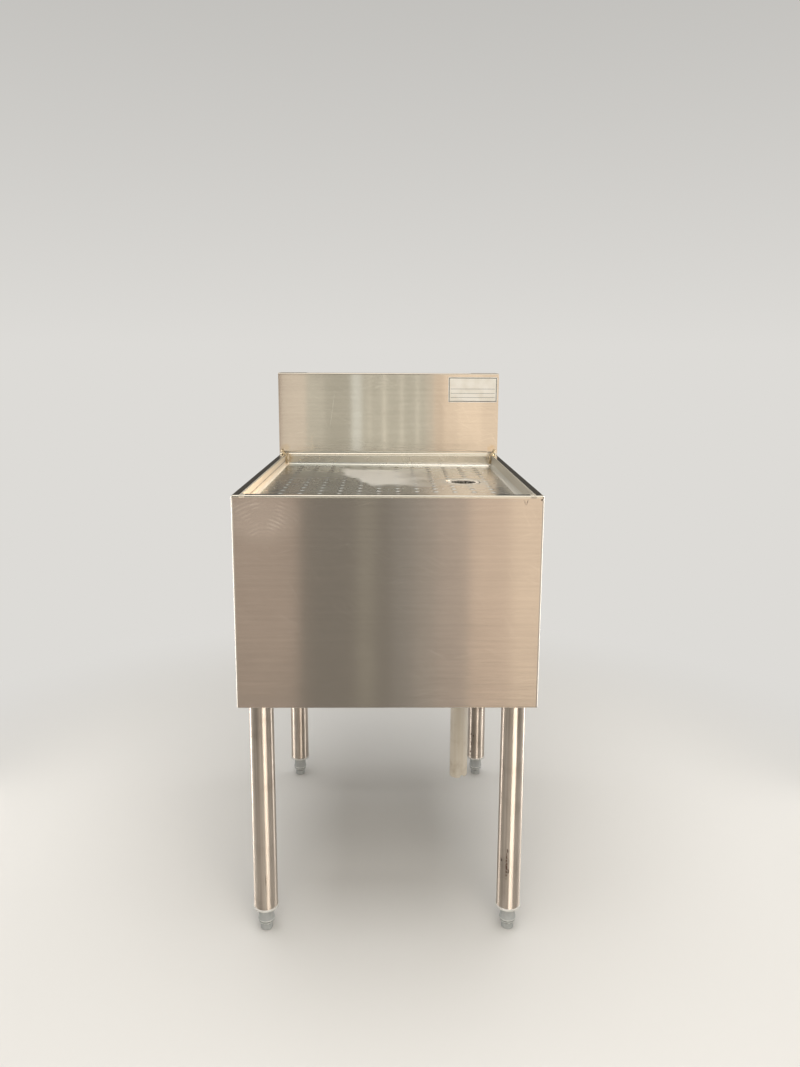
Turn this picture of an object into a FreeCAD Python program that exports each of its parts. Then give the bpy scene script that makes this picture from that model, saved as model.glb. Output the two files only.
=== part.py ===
import FreeCAD, Part
import math
import os
from types import SimpleNamespace

import Sketcher
from FreeCAD import Placement, Rotation, Vector

# Drainboard unit: a shallow dimpled tray with a splash and a deep apron, on four tubular legs.
# Millimetres, +Z up. The origin is on the floor, under the middle of the footprint, and the apron faces -Y.

doc = FreeCAD.newDocument("DrainboardUnit")

DRIVING_SIZES = (
    ("width", 457.2, "overall, side face to side face"),
    ("depth", 609.6, "overall, apron face to back"),
    ("rim_height", 728.5, "floor to the flat rim, feet screwed in"),
    ("apron_height", 327.0, "rim to the bottom edge of the skirt"),
    ("splash_rise", 169.0, "rim to the top of the splash"),
    ("splash_depth", 63.5, "splash face to back"),
    ("sheet", 1.2, "thickness of the formed steel sheet"),
    ("bend", 3.0, "outer radius of a folded edge"),
    ("rim_width", 14.0, "flat rim at the front and sides"),
    ("rim_skirt", 4.0, "turned-down edge of the rim"),
    ("rear_ledge", 10.0, "rim in front of the splash"),
    ("upstand", 7.0, "turned-up edge that meets the splash"),
    ("ledge_cove", 5.0, "hollow radius at the foot of the splash"),
    ("well_corner", 8.0, "upright corners of the well"),
    ("well_cove", 5.0, "hollow radius round the deck"),
    ("well_lip", 2.5, "rounded edge from rim to well"),
    ("deck_drop", 20.0, "rim to deck at the high side"),
    ("deck_fall", 3.0, "fall of the deck across the well, towards the drain"),
    ("dimple_pitch", 32.0, "spacing of the raised dimples, both ways"),
    ("dimple_width", 11.0, "diameter of a dimple"),
    ("dimple_rise", 1.5, "height of a dimple"),
    ("dimple_margin", 37.0, "well wall to the nearest dimple centre, at least"),
    ("splash_flange", 40.0, "back return of the splash"),
    ("side_return", 20.0, "apron sheet folded round each side"),
    ("rear_return", 15.0, "side sheet folded round the back"),
    ("return_gap", 2.5, "bottom return of the skirt to leg"),
    ("rail_height", 80.0, "rear rail"),
    ("channel_width", 58.0, "leg channel, across"),
    ("channel_height", 25.0, "leg channel, upright"),
    ("channel_sheet", 2.0, "leg channel, thickness"),
    ("channel_bend", 4.0, "leg channel, outer bend radius"),
    ("channel_end_gap", 3.0, "leg channel to the folded corners"),
    ("leg_inset_x", 30.0, "side face to leg axis"),
    ("leg_inset_y", 44.5, "front or back to leg axis"),
    ("leg_diameter", 38.1, "leg tube, outside"),
    ("leg_wall", 1.5, "leg tube, wall"),
    ("gusset_gap", 1.4, "gusset flange to side sheet"),
    ("gusset_plate", 4.0, "gusset flange, thickness"),
    ("gusset_taper", 14.0, "gusset cone below the flange"),
    ("gusset_depth", 50.0, "gusset, flange to lower rim"),
    ("gusset_wall", 4.3, "gusset cup, wall"),
    ("gusset_stud", 10.0, "stud that holds a gusset, diameter"),
    ("stud_tail", 3.0, "stud past its nut"),
    ("nut_across", 17.0, "gusset nut, across flats"),
    ("nut_height", 8.0, "gusset nut"),
    ("washer_width", 20.0, "gusset washer, outside"),
    ("washer_height", 1.6, "gusset washer"),
    ("screw_diameter", 8.0, "set screw"),
    ("screw_drop", 32.0, "gusset top to set screw"),
    ("screw_tail", 1.0, "set screw outside the cup"),
    ("socket_hex", 4.0, "set screw key, across flats"),
    ("tube_end", 43.0, "floor to the lower end of a leg tube"),
    ("collar_height", 3.6, "foot collar"),
    ("collar_lip", 1.8, "foot collar beyond the tube"),
    ("collar_round", 1.2, "foot collar, edge radius"),
    ("plug_length", 30.0, "foot socket inside the tube"),
    ("foot_stud", 12.0, "foot stud, diameter"),
    ("stud_grip", 22.0, "foot stud inside the foot"),
    ("stud_reach", 45.0, "foot stud above the foot"),
    ("stud_chamfer", 1.0, "foot stud, upper end"),
    ("neck_width", 24.0, "bullet foot, neck"),
    ("neck_height", 14.0, "bullet foot, straight neck"),
    ("neck_round", 12.0, "bullet foot, hollow from neck to belly"),
    ("belly_width", 27.0, "bullet foot, widest"),
    ("belly_level", 17.8, "bullet foot, floor to widest"),
    ("ring_width", 25.2, "bullet foot, ring under the belly"),
    ("ring_level", 12.8, "bullet foot, floor to ring"),
    ("ring_groove", 1.0, "bullet foot, groove between belly and ring"),
    ("bead_round", 0.6, "bullet foot, edges of belly and ring"),
    ("undercut", 0.6, "bullet foot, hollow behind the tip's face"),
    ("undercut_height", 1.9, "bullet foot, hollow above the tip"),
    ("tip_width", 19.4, "bullet foot, tip"),
    ("tip_level", 9.0, "bullet foot, floor to tip shoulder"),
    ("tip_round", 1.2, "bullet foot, edge on the floor"),
    ("drain_throat", 46.0, "drain, inside diameter"),
    ("drain_wall", 2.0, "drain, wall of the throat"),
    ("drain_flange", 57.0, "drain flange, outside"),
    ("flange_height", 2.0, "drain flange, thickness"),
    ("flange_sink", 0.5, "drain flange below the deck"),
    ("gasket_height", 1.0, "gasket under the drain flange"),
    ("seat_margin", 2.5, "drain seat beyond the flange"),
    ("seat_round", 0.8, "drain seat, edge radius"),
    ("drain_setback", 300.0, "apron face to drain axis"),
    ("drain_gap", 1.0, "drain seat to leg channel"),
    ("thread_length", 15.0, "drain thread below the seat"),
    ("drain_cone", 14.0, "drain, cone down to its outlet"),
    ("outlet_length", 22.0, "drain outlet"),
    ("washer_thick", 1.5, "drain washer"),
    ("locknut_across", 56.0, "drain locknut, across flats"),
    ("locknut_height", 7.0, "drain locknut"),
    ("pipe_diameter", 33.4, "drain pipe, outside"),
    ("pipe_wall", 3.4, "drain pipe, wall"),
    ("pipe_end", 135.0, "floor to the open end of the pipe"),
    ("adapter_wall", 4.3, "pipe adapter, wall"),
    ("adapter_rib", 2.2, "pipe adapter, threaded end beyond the rest"),
    ("adapter_grip", 22.0, "pipe adapter round the pipe"),
    ("adapter_step", 3.0, "pipe adapter, inner shoulder"),
    ("push_fit", 0.1, "radial clearance of a push fit"),
    ("hole_fit", 0.4, "radial clearance of a bolt hole"),
    ("running_fit", 0.05, "radial clearance of a stud that turns"),
    ("seat_gap", 0.3, "foot to collar when screwed in"),
)


class Size:
    """A length known both as a number and as the sheet expression that gives it."""

    def __init__(self, value, text):
        self.value = value
        self.text = text

    def __add__(self, other):
        other = as_size(other)
        return Size(self.value + other.value, f"({self.text} + {other.text})")

    def __sub__(self, other):
        other = as_size(other)
        return Size(self.value - other.value, f"({self.text} - {other.text})")

    def __mul__(self, other):
        other = as_size(other)
        return Size(self.value * other.value, f"({self.text} * {other.text})")

    def __truediv__(self, other):
        other = as_size(other)
        return Size(self.value / other.value, f"({self.text} / {other.text})")

    def __neg__(self):
        return Size(-self.value, f"(0 - {self.text})")


def as_size(item):
    return item if isinstance(item, Size) else Size(float(item), f"{item}")


def write_sheet():
    sheet = doc.addObject("Spreadsheet::Sheet", "Sizes")
    for row, (name, value, note) in enumerate(DRIVING_SIZES, start=1):
        sheet.set(f"A{row}", note)
        sheet.set(f"B{row}", str(value))
        sheet.setAlias(f"B{row}", name)
    doc.recompute()
    sizes = {name: Size(float(getattr(sheet, name)), f"Sizes.{name}") for name, _, _ in DRIVING_SIZES}
    return SimpleNamespace(**sizes)


s = write_sheet()
zero = as_size(0)
same_place = 0.01  # points nearer than this count as one

# Places that several pieces share.
half_width = s.width / 2
front = -(s.depth / 2)
back = s.depth / 2
splash_face = back - s.splash_depth
skirt_top = s.rim_height - s.rim_skirt
skirt_bottom = s.rim_height - s.apron_height
splash_top = s.rim_height + s.splash_rise
well_half = half_width - s.rim_width
well_front = front + s.rim_width
well_back = splash_face - s.rear_ledge
inner_bend = s.bend - s.sheet
leg_radius = s.leg_diameter / 2
bottom_return = s.leg_inset_x - leg_radius - s.return_gap
channel_inside = half_width - s.sheet - s.channel_width
seat_radius = s.drain_flange / 2 + s.seat_margin
drain_x = channel_inside - s.drain_gap - s.sheet - seat_radius
drain_y = front + s.drain_setback

SIDES = {"left": -1, "right": 1}
ENDS = {"front": -1, "rear": 1}
CORNERS = [(f"{end}_{side}", SIDES[side], ENDS[end]) for end in ENDS for side in SIDES]


def deck_level(x):
    """Height of the deck's upper face at x: it falls evenly from the left wall to the right."""
    return s.rim_height - s.deck_drop - s.deck_fall * (as_size(x) + well_half) / (well_half * 2)


seat_level = deck_level(drain_x) - s.flange_sink - s.flange_height - s.gasket_height


def channel_bottom(side):
    """Underside of a leg channel, whose inner wall stands against the lowest deck above it."""
    lowest_x = channel_inside + s.channel_sheet if side > 0 else -channel_inside
    return deck_level(lowest_x) - s.sheet - s.channel_height


def leg_axis(side, end):
    return (half_width - s.leg_inset_x) * side, (back - s.leg_inset_y) * end


# Helpers that draw bound sketches and features.

PLANE_NORMAL = {"XY_Plane": 1, "XZ_Plane": -1, "YZ_Plane": 1}
parts = []


def bind(item, prop, size):
    item.setExpression(prop, as_size(size).text)


def place(item, x, y, z=zero):
    for axis, size in zip("xyz", (x, y, z)):
        bind(item, f"Placement.Base.{axis}", size)


def new_body(label):
    body = doc.addObject("PartDesign::Body", label)
    body.Label = label
    parts.append(body)
    return body


def new_sketch(body, plane, name, level):
    """A sketch on one of the body's own planes, moved to a level along the world axis across it."""
    sketch = body.newObject("Sketcher::SketchObject", name)
    support = next(item for item in body.Origin.OriginFeatures if item.Role == plane)
    sketch.AttachmentSupport = (support, [""])
    sketch.MapMode = "FlatFace"
    if level is not None:
        bind(sketch, "AttachmentOffset.Base.z", level * PLANE_NORMAL[plane])
    return sketch


def pin(sketch, kind, line, size):
    """Ties the start of a sketch line to the sketch's origin along one axis."""
    size = as_size(size)
    if abs(size.value) < same_place:
        axis = -2 if kind == "DistanceX" else -1
        sketch.addConstraint(Sketcher.Constraint("PointOnObject", line, 1, axis))
    elif size.value > 0:
        index = sketch.addConstraint(Sketcher.Constraint(kind, -1, 1, line, 1, size.value))
        bind(sketch, f"Constraints[{index}]", size)
    else:
        index = sketch.addConstraint(Sketcher.Constraint(kind, line, 1, -1, 1, -size.value))
        bind(sketch, f"Constraints[{index}]", -size)


def outline(body, plane, name, points, level=None):
    """A closed outline of straight lines, with each corner tied to the sizes."""
    sketch = new_sketch(body, plane, name, level)
    spots = [Vector(as_size(u).value, as_size(v).value, 0) for u, v in points]
    count = len(spots)
    for i in range(count):
        sketch.addGeometry(Part.LineSegment(spots[i], spots[(i + 1) % count]), False)
    for i in range(count):
        sketch.addConstraint(Sketcher.Constraint("Coincident", i, 2, (i + 1) % count, 1))
    for i, (u, v) in enumerate(points):
        pin(sketch, "DistanceX", i, u)
        pin(sketch, "DistanceY", i, v)
    return sketch


def rectangle(body, plane, name, left, right, low, high, level=None):
    return outline(body, plane, name, [(left, low), (right, low), (right, high), (left, high)], level)


def circle(body, plane, name, u, v, diameter, level=None):
    sketch = new_sketch(body, plane, name, level)
    u, v = as_size(u), as_size(v)
    spot = Vector(u.value, v.value, 0)
    sketch.addGeometry(Part.Circle(spot, Vector(0, 0, 1), diameter.value / 2), False)
    index = sketch.addConstraint(Sketcher.Constraint("Diameter", 0, diameter.value))
    bind(sketch, f"Constraints[{index}]", diameter)
    for kind, axis, size in (("DistanceX", -2, u), ("DistanceY", -1, v)):
        if abs(size.value) < same_place:
            sketch.addConstraint(Sketcher.Constraint("PointOnObject", 0, 3, axis))
        else:
            ends = (-1, 1, 0, 3) if size.value > 0 else (0, 3, -1, 1)
            index = sketch.addConstraint(Sketcher.Constraint(kind, *ends, abs(size.value)))
            bind(sketch, f"Constraints[{index}]", size if size.value > 0 else -size)
    return sketch


def extrude(body, kind, sketch, length, reverse=False):
    feature = body.newObject(f"PartDesign::{kind}", f"{sketch.Name}_{kind.lower()}")
    feature.Profile = sketch
    bind(feature, "Length", length)
    feature.Reversed = reverse
    doc.recompute()
    if feature.Shape.isNull() or not feature.Shape.Solids:
        raise RuntimeError(f"{body.Label}: {sketch.Name} gives no solid")
    return feature


def pad(body, sketch, length, reverse=False):
    return extrude(body, "Pad", sketch, length, reverse)


def pocket(body, sketch, length, reverse=False):
    before = body.Shape.Volume
    feature = extrude(body, "Pocket", sketch, length, reverse)
    if body.Shape.Volume >= before:
        raise RuntimeError(f"{body.Label}: {sketch.Name} cuts nothing")
    return feature


def revolve(body, sketch):
    feature = body.newObject("PartDesign::Revolution", f"{sketch.Name}_turn")
    feature.Profile = sketch
    feature.ReferenceAxis = (sketch, ["V_Axis"])
    feature.Angle = 360
    doc.recompute()
    return feature


def edge_points(edge):
    middle = edge.valueAt((edge.FirstParameter + edge.LastParameter) / 2)
    return [vertex.Point for vertex in edge.Vertexes] + [middle]


def along(**levels):
    """Chooses the edges whose points all keep the given x, y or z."""
    wanted = {axis: as_size(size).value for axis, size in levels.items()}

    def chosen(edge):
        return all(abs(getattr(spot, axis) - level) < same_place
                   for spot in edge_points(edge) for axis, level in wanted.items())

    return chosen


def ring_at(radius, x, y):
    """Chooses the edges that keep that distance from the upright axis at x, y."""
    radius, x, y = radius.value, x.value, y.value

    def chosen(edge):
        spots = edge_points(edge)
        level = max(spot.z for spot in spots) - min(spot.z for spot in spots) < s.sheet.value
        return level and all(abs(math.hypot(spot.x - x, spot.y - y) - radius) < same_place for spot in spots)

    return chosen


def hoop(radius, level):
    """Chooses the circular edge of that radius about the body's own axis at that level."""
    radius, level = as_size(radius).value, as_size(level).value

    def chosen(edge):
        return all(abs(math.hypot(spot.x, spot.y) - radius) < same_place and abs(spot.z - level) < same_place
                   for spot in edge_points(edge))

    return chosen


def any_of(*choices):
    return lambda edge: any(choice(edge) for choice in choices)


def round_edges(body, radius, chosen):
    base = body.Tip
    names = [f"Edge{i}" for i, edge in enumerate(base.Shape.Edges, start=1) if chosen(edge)]
    if not names:
        raise RuntimeError(f"{body.Label}: no edge to round")
    feature = body.newObject("PartDesign::Fillet", "rounding")
    feature.Base = (base, names)
    bind(feature, "Radius", radius)
    doc.recompute()
    if "Invalid" in feature.State:
        raise RuntimeError(f"{body.Label}: rounding of {names} failed")
    return feature


def any_face(**levels):
    """Chooses the flat faces that lie at the given x, y or z."""
    wanted = {axis: as_size(size).value for axis, size in levels.items()}

    def chosen(face):
        return all(abs(getattr(vertex.Point, axis) - level) < same_place
                   for vertex in face.Vertexes for axis, level in wanted.items())

    return chosen


def hollow(body, thickness, *openings):
    """Leaves a wall of that thickness inside the body's faces, open at the chosen ones."""
    base = body.Tip
    names = [f"Face{i}" for i, face in enumerate(base.Shape.Faces, start=1)
             if any(choice(face) for choice in openings)]
    feature = body.newObject("PartDesign::Thickness", "shell")
    feature.Base = (base, names)
    bind(feature, "Value", thickness)
    feature.Reversed = True
    doc.recompute()
    return feature


def turned(label, points, x=zero, y=zero):
    """A body of revolution about the upright axis at x, y, from its half section of radius and height."""
    body = new_body(label)
    revolve(body, outline(body, "XZ_Plane", f"{label}_section", points))
    place(body, x, y)
    return body


def sleeve(label, inside, outside, low, high, x, y):
    section = [(inside, low), (outside, low), (outside, high), (inside, high)]
    return turned(label, section, x, y)


def group(label, items):
    joined = doc.addObject("Part::Compound", label)
    joined.Label = label
    joined.Links = items
    parts.append(joined)
    return joined


def ring_solid(name, solid, hole_diameter, height):
    """A primitive solid with an upright hole through it, both on the axis of the solid."""
    hole = doc.addObject("Part::Cylinder", f"{name}_hole")
    bind(hole, "Radius", hole_diameter / 2)
    bind(hole, "Height", height)
    cut = doc.addObject("Part::Cut", name)
    cut.Base = solid
    cut.Tool = hole
    return cut


def hexagon(name, across, height):
    prism = doc.addObject("Part::Prism", name)
    prism.Polygon = 6
    bind(prism, "Circumradius", across / math.sqrt(3))
    bind(prism, "Height", height)
    return prism


def disc(name, diameter, height):
    cylinder = doc.addObject("Part::Cylinder", name)
    bind(cylinder, "Radius", diameter / 2)
    bind(cylinder, "Height", height)
    return cylinder


# The tray.


def well_section(body, name, margin, top, floor_drop, level):
    """Cross section of the well, which follows the fall of the deck, grown by a margin."""
    edge = well_half + margin
    points = [
        (-edge, deck_level(-edge) - floor_drop),
        (edge, deck_level(edge) - floor_drop),
        (edge, top),
        (-edge, top),
    ]
    return outline(body, "XZ_Plane", name, points, level)


def around_deck(margin, drop):
    """Chooses the edges that run round the deck, at a margin outside the well and a drop below the deck."""
    reach = (well_half + margin).value + same_place
    near, far = (well_front - margin).value - same_place, (well_back + margin).value + same_place

    def chosen(edge):
        return all(abs(spot.x) < reach and near < spot.y < far
                   and abs(spot.z - deck_level(spot.x).value + as_size(drop).value) < same_place
                   for spot in edge_points(edge))

    return chosen


def well_uprights(margin):
    edge = well_half + margin
    return any_of(*(along(x=edge * side, y=y)
                    for side in (-1, 1) for y in (well_front - margin, well_back + margin)))


def form_rim(body):
    plan = rectangle(body, "XY_Plane", "rim_plan", -half_width, half_width, front, splash_face, skirt_top)
    pad(body, plan, s.rim_skirt)
    corners = any_of(along(x=-half_width, y=front), along(x=half_width, y=front))
    edges = any_of(*(along(z=s.rim_height, **spot)
                     for spot in ({"y": front}, {"x": half_width}, {"x": -half_width})))
    round_edges(body, s.bend, any_of(corners, edges))
    hollow(body, s.sheet, any_face(z=skirt_top), any_face(y=splash_face))


def form_well(body):
    outer = well_section(body, "well_outside", s.sheet, s.rim_height - s.sheet / 2, s.sheet,
                         well_back + s.sheet)
    pad(body, outer, well_back - well_front + s.sheet * 2)
    inner = well_section(body, "well_inside", zero, s.rim_height + s.sheet, zero, well_back)
    pocket(body, inner, well_back - well_front, reverse=True)
    round_edges(body, s.well_corner, well_uprights(zero))
    round_edges(body, s.well_corner + s.sheet, well_uprights(s.sheet))
    round_edges(body, s.well_cove, around_deck(zero, zero))
    round_edges(body, s.well_cove + s.sheet, around_deck(s.sheet, s.sheet))
    lip_reach = well_half.value + same_place

    def well_mouth(edge):
        return all(abs(spot.z - s.rim_height.value) < same_place and abs(spot.x) < lip_reach
                   and well_front.value - same_place < spot.y < well_back.value + same_place
                   for spot in edge_points(edge))

    round_edges(body, s.well_lip, well_mouth)


def form_upstand(body):
    """The rear edge of the rim, turned up through a hollow cove to meet the splash."""
    low = s.rim_height - s.sheet
    high = s.rim_height + s.upstand
    behind = splash_face + s.sheet
    cove_front = splash_face - s.ledge_cove
    cove_top = s.rim_height + s.ledge_cove
    lap = cove_front - s.sheet
    section = [
        (lap, low), (behind, low), (behind, high), (splash_face, high), (splash_face, cove_top),
        (cove_front, cove_top), (cove_front, s.rim_height), (lap, s.rim_height),
    ]
    start = s.sheet - half_width
    length = s.width - s.sheet * 2
    pad(body, outline(body, "YZ_Plane", "upstand_section", section, start), length)
    cove = circle(body, "YZ_Plane", "upstand_cove", cove_front, cove_top, s.ledge_cove * 2, start)
    pocket(body, cove, length, reverse=True)


def form_drain_seat(body):
    """A flat round seat pressed into the deck, with the hole for the drain in it."""
    boss = circle(body, "XY_Plane", "seat_boss", drain_x, drain_y, (seat_radius + s.sheet) * 2,
                  seat_level - s.sheet)
    pad(body, boss, deck_level(drain_x) - seat_level + s.sheet / 2)
    seat = circle(body, "XY_Plane", "seat_recess", drain_x, drain_y, seat_radius * 2, seat_level)
    pocket(body, seat, s.deck_drop, reverse=True)
    hole_size = s.drain_throat + (s.drain_wall + s.push_fit) * 2
    hole = circle(body, "XY_Plane", "seat_hole", drain_x, drain_y, hole_size, seat_level)
    pocket(body, hole, s.sheet * 2)
    round_edges(body, s.seat_round, any_of(*(ring_at(radius, drain_x, drain_y)
                                             for radius in (seat_radius, seat_radius + s.sheet))))


def dimple_field():
    """Caps of spheres in a square grid on the deck, left out round the drain."""
    rise, half = s.dimple_rise.value, s.dimple_width.value / 2
    ball = (half ** 2 + rise ** 2) / (2 * rise)
    root = s.sheet.value / 2
    low_angle = math.degrees(math.asin((ball - rise - root) / ball))
    clear = seat_radius.value + half + s.seat_margin.value
    rows = grid_line(well_front.value, well_back.value)
    caps = []
    for x in grid_line(-well_half.value, well_half.value):
        for y in rows:
            if math.hypot(x - drain_x.value, y - drain_y.value) < clear:
                continue
            centre = Vector(x, y, deck_level(x).value + rise - ball)
            caps.append(Part.makeSphere(ball, centre, Vector(0, 0, 1), low_angle, 90, 360))
    field = doc.addObject("Part::Feature", "dimple_field")
    field.Shape = Part.makeCompound(caps)
    return field


def grid_line(low, high):
    """Even places between two walls, centred, none nearer to a wall than the margin."""
    pitch, margin = s.dimple_pitch.value, s.dimple_margin.value
    count = int((high - low - 2 * margin) / pitch) + 1
    middle = (low + high) / 2
    return [middle + (i - (count - 1) / 2) * pitch for i in range(count)]


def drainboard_top():
    body = doc.addObject("PartDesign::Body", "tray")
    form_rim(body)
    form_well(body)
    form_upstand(body)
    form_drain_seat(body)
    top = doc.addObject("Part::Fuse", "drainboard_top")
    top.Base = body
    top.Tool = dimple_field()
    top.Label = "drainboard_top"
    parts.append(top)


# The splash and the skirt.


def backsplash_shell():
    body = new_body("backsplash_shell")
    low = s.rim_height + s.upstand
    flange_low = splash_top - s.splash_flange
    section = [
        (splash_face, low), (splash_face, splash_top), (back, splash_top), (back, flange_low),
        (back - s.sheet, flange_low), (back - s.sheet, splash_top - s.sheet),
        (splash_face + s.sheet, splash_top - s.sheet), (splash_face + s.sheet, low),
    ]
    sketch = outline(body, "YZ_Plane", "splash_section", section, s.sheet - half_width)
    pad(body, sketch, s.width - s.sheet * 2)
    round_edges(body, s.bend, any_of(along(y=splash_face, z=splash_top), along(y=back, z=splash_top)))
    round_edges(body, inner_bend, any_of(along(y=splash_face + s.sheet, z=splash_top - s.sheet),
                                         along(y=back - s.sheet, z=splash_top - s.sheet)))


def backsplash_end(name, side):
    """A plate that closes one end of the splash, rounded at the top to the splash's own bends."""
    body = new_body(f"backsplash_end_{name}")
    level = half_width - s.sheet if side > 0 else -half_width
    sketch = rectangle(body, "YZ_Plane", f"end_{name}", splash_face, back, skirt_top, splash_top, level)
    pad(body, sketch, s.sheet)
    round_edges(body, s.bend, any_of(along(y=splash_face, z=splash_top), along(y=back, z=splash_top)))


def front_apron():
    body = new_body("front_apron")
    inner = half_width - s.sheet
    turn = front + s.side_return
    plan = [
        (-half_width, front), (half_width, front), (half_width, turn), (inner, turn),
        (inner, front + s.sheet), (-inner, front + s.sheet), (-inner, turn), (-half_width, turn),
    ]
    pad(body, outline(body, "XY_Plane", "apron_plan", plan, skirt_bottom), s.apron_height - s.rim_skirt)
    round_edges(body, s.bend, any_of(along(x=-half_width, y=front), along(x=half_width, y=front)))
    round_edges(body, inner_bend, any_of(along(x=-inner, y=front + s.sheet),
                                         along(x=inner, y=front + s.sheet)))
    reach = inner - s.bend
    hem = rectangle(body, "XY_Plane", "apron_hem", -reach, reach, front + s.sheet, front + bottom_return,
                    skirt_bottom)
    pad(body, hem, s.sheet)
    round_edges(body, inner_bend, along(y=front + s.sheet, z=skirt_bottom + s.sheet))
    round_edges(body, s.sheet / 2, along(y=front, z=skirt_bottom))


def side_panel(name, side):
    body = new_body(f"side_panel_{name}")
    face = half_width * side
    inner = (half_width - s.sheet) * side
    tip = (half_width - s.rear_return) * side
    start = front + s.side_return
    plan = [
        (face, start), (face, back), (tip, back), (tip, back - s.sheet),
        (inner, back - s.sheet), (inner, start),
    ]
    pad(body, outline(body, "XY_Plane", f"side_plan_{name}", plan, skirt_bottom),
        s.apron_height - s.rim_skirt)
    round_edges(body, s.bend, along(x=face, y=back))
    round_edges(body, inner_bend, along(x=inner, y=back - s.sheet))
    edge = (half_width - bottom_return) * side
    hem = rectangle(body, "XY_Plane", f"side_hem_{name}", edge, inner, start, back - s.bend, skirt_bottom)
    pad(body, hem, s.sheet)
    round_edges(body, inner_bend, along(x=inner, z=skirt_bottom + s.sheet))


def rear_rail():
    body = new_body("rear_rail")
    low = skirt_bottom + s.sheet
    high = low + s.rail_height
    outside = back - s.sheet
    inside = outside - s.sheet
    tip = outside - bottom_return
    section = [
        (outside, low), (outside, high), (tip, high), (tip, high - s.sheet),
        (inside, high - s.sheet), (inside, low + s.sheet), (tip, low + s.sheet), (tip, low),
    ]
    reach = half_width - s.sheet - s.bend
    sketch = outline(body, "YZ_Plane", "rail_section", section, -reach)
    pad(body, sketch, reach * 2)
    round_edges(body, s.bend, any_of(along(y=outside, z=low), along(y=outside, z=high)))
    round_edges(body, inner_bend, any_of(along(y=inside, z=low + s.sheet),
                                         along(y=inside, z=high - s.sheet)))


# The legs and what carries them.


def leg_channel(name, side):
    """A trough from front to back: its outer wall lies on the side sheet, its inner wall under the deck."""
    body = new_body(f"leg_channel_{name}")
    outer = (half_width - s.sheet) * side
    inner = channel_inside * side
    wall = s.channel_sheet * side
    low = channel_bottom(side)
    high = low + s.channel_height
    web = low + s.channel_sheet
    section = [
        (inner, high), (inner, low), (outer, low), (outer, high),
        (outer - wall, high), (outer - wall, web), (inner + wall, web), (inner + wall, high),
    ]
    end = back - s.sheet - s.channel_end_gap
    sketch = outline(body, "XZ_Plane", f"channel_section_{name}", section, end)
    pad(body, sketch, end * 2)
    round_edges(body, s.channel_bend, any_of(along(x=inner, z=low), along(x=outer, z=low)))
    round_edges(body, s.channel_bend - s.channel_sheet,
                any_of(along(x=inner + wall, z=web), along(x=outer - wall, z=web)))
    for end_name, end_sign in ENDS.items():
        x, y = leg_axis(side, end_sign)
        hole = circle(body, "XY_Plane", f"stud_hole_{end_name}_{name}", x, y,
                      s.gusset_stud + s.hole_fit * 2, low)
        pocket(body, hole, s.channel_sheet * 2, reverse=True)


def leg_gusset(name, side, end):
    """A cup with a flange under the channel and a stud up through it, and a side hole for the set screw."""
    top = channel_bottom(side)
    flange = s.leg_inset_x - s.sheet - s.gusset_gap
    bore = leg_radius + s.push_fit
    cup = bore + s.gusset_wall
    stud = s.gusset_stud / 2
    stud_top = top + s.channel_sheet + s.washer_height + s.nut_height + s.stud_tail
    plate = top - s.gusset_plate
    low = top - s.gusset_depth
    section = [
        (zero, stud_top), (zero, plate), (bore, plate), (bore, low), (cup, low),
        (cup, plate - s.gusset_taper), (flange, plate), (flange, top), (stud, top), (stud, stud_top),
    ]
    x, y = leg_axis(side, end)
    body = turned(f"leg_gusset_{name}", section, x, y)
    hole = circle(body, "YZ_Plane", f"screw_hole_{name}", zero, top - s.screw_drop,
                  s.screw_diameter + s.push_fit * 2)
    pocket(body, hole, cup * 2, reverse=side < 0)


def leg_fixings():
    """One washer, nut and set screw at each gusset."""
    nuts, washers, screws = [], [], []
    for name, side, end in CORNERS:
        x, y = leg_axis(side, end)
        web = channel_bottom(side) + s.channel_sheet
        bore = s.gusset_stud + s.push_fit * 2
        washer = ring_solid(f"washer_{name}", disc(f"washer_disc_{name}", s.washer_width, s.washer_height),
                            bore, s.washer_height)
        place(washer, x, y, web)
        washers.append(washer)
        nut = ring_solid(f"nut_{name}", hexagon(f"nut_hexagon_{name}", s.nut_across, s.nut_height),
                         bore, s.nut_height)
        place(nut, x, y, web + s.washer_height)
        nuts.append(nut)
        screws.append(set_screw(name, side, x, y))
    group("gusset_washers", washers)
    group("gusset_nuts", nuts)
    group("leg_set_screws", screws)


def set_screw(name, side, x, y):
    """A headless screw from the inner side of the cup to the tube, with a hexagonal key socket."""
    tip = leg_radius + s.push_fit
    length = s.gusset_wall + s.screw_tail
    socket_depth = length / 2
    cylinder = disc(f"screw_{name}_shank", s.screw_diameter, length)
    socket = hexagon(f"screw_{name}_socket", s.socket_hex, socket_depth)
    bind(socket, "Placement.Base.z", length - socket_depth)
    screw = doc.addObject("Part::Cut", f"screw_{name}")
    screw.Base = cylinder
    screw.Tool = socket
    screw.Placement = Placement(Vector(), Rotation(Vector(0, 1, 0), -90 * side))
    place(screw, x - tip * side, y, channel_bottom(side) - s.screw_drop)
    return screw


def leg_tube(name, side, end):
    x, y = leg_axis(side, end)
    top = channel_bottom(side) - s.gusset_plate
    sleeve(f"leg_tube_{name}", leg_radius - s.leg_wall, leg_radius, s.tube_end, top, x, y)


# The adjustable feet.

collar_low = s.tube_end - s.collar_height
foot_top = collar_low - s.seat_gap
stud_bore = s.foot_stud / 2 + s.running_fit


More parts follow.
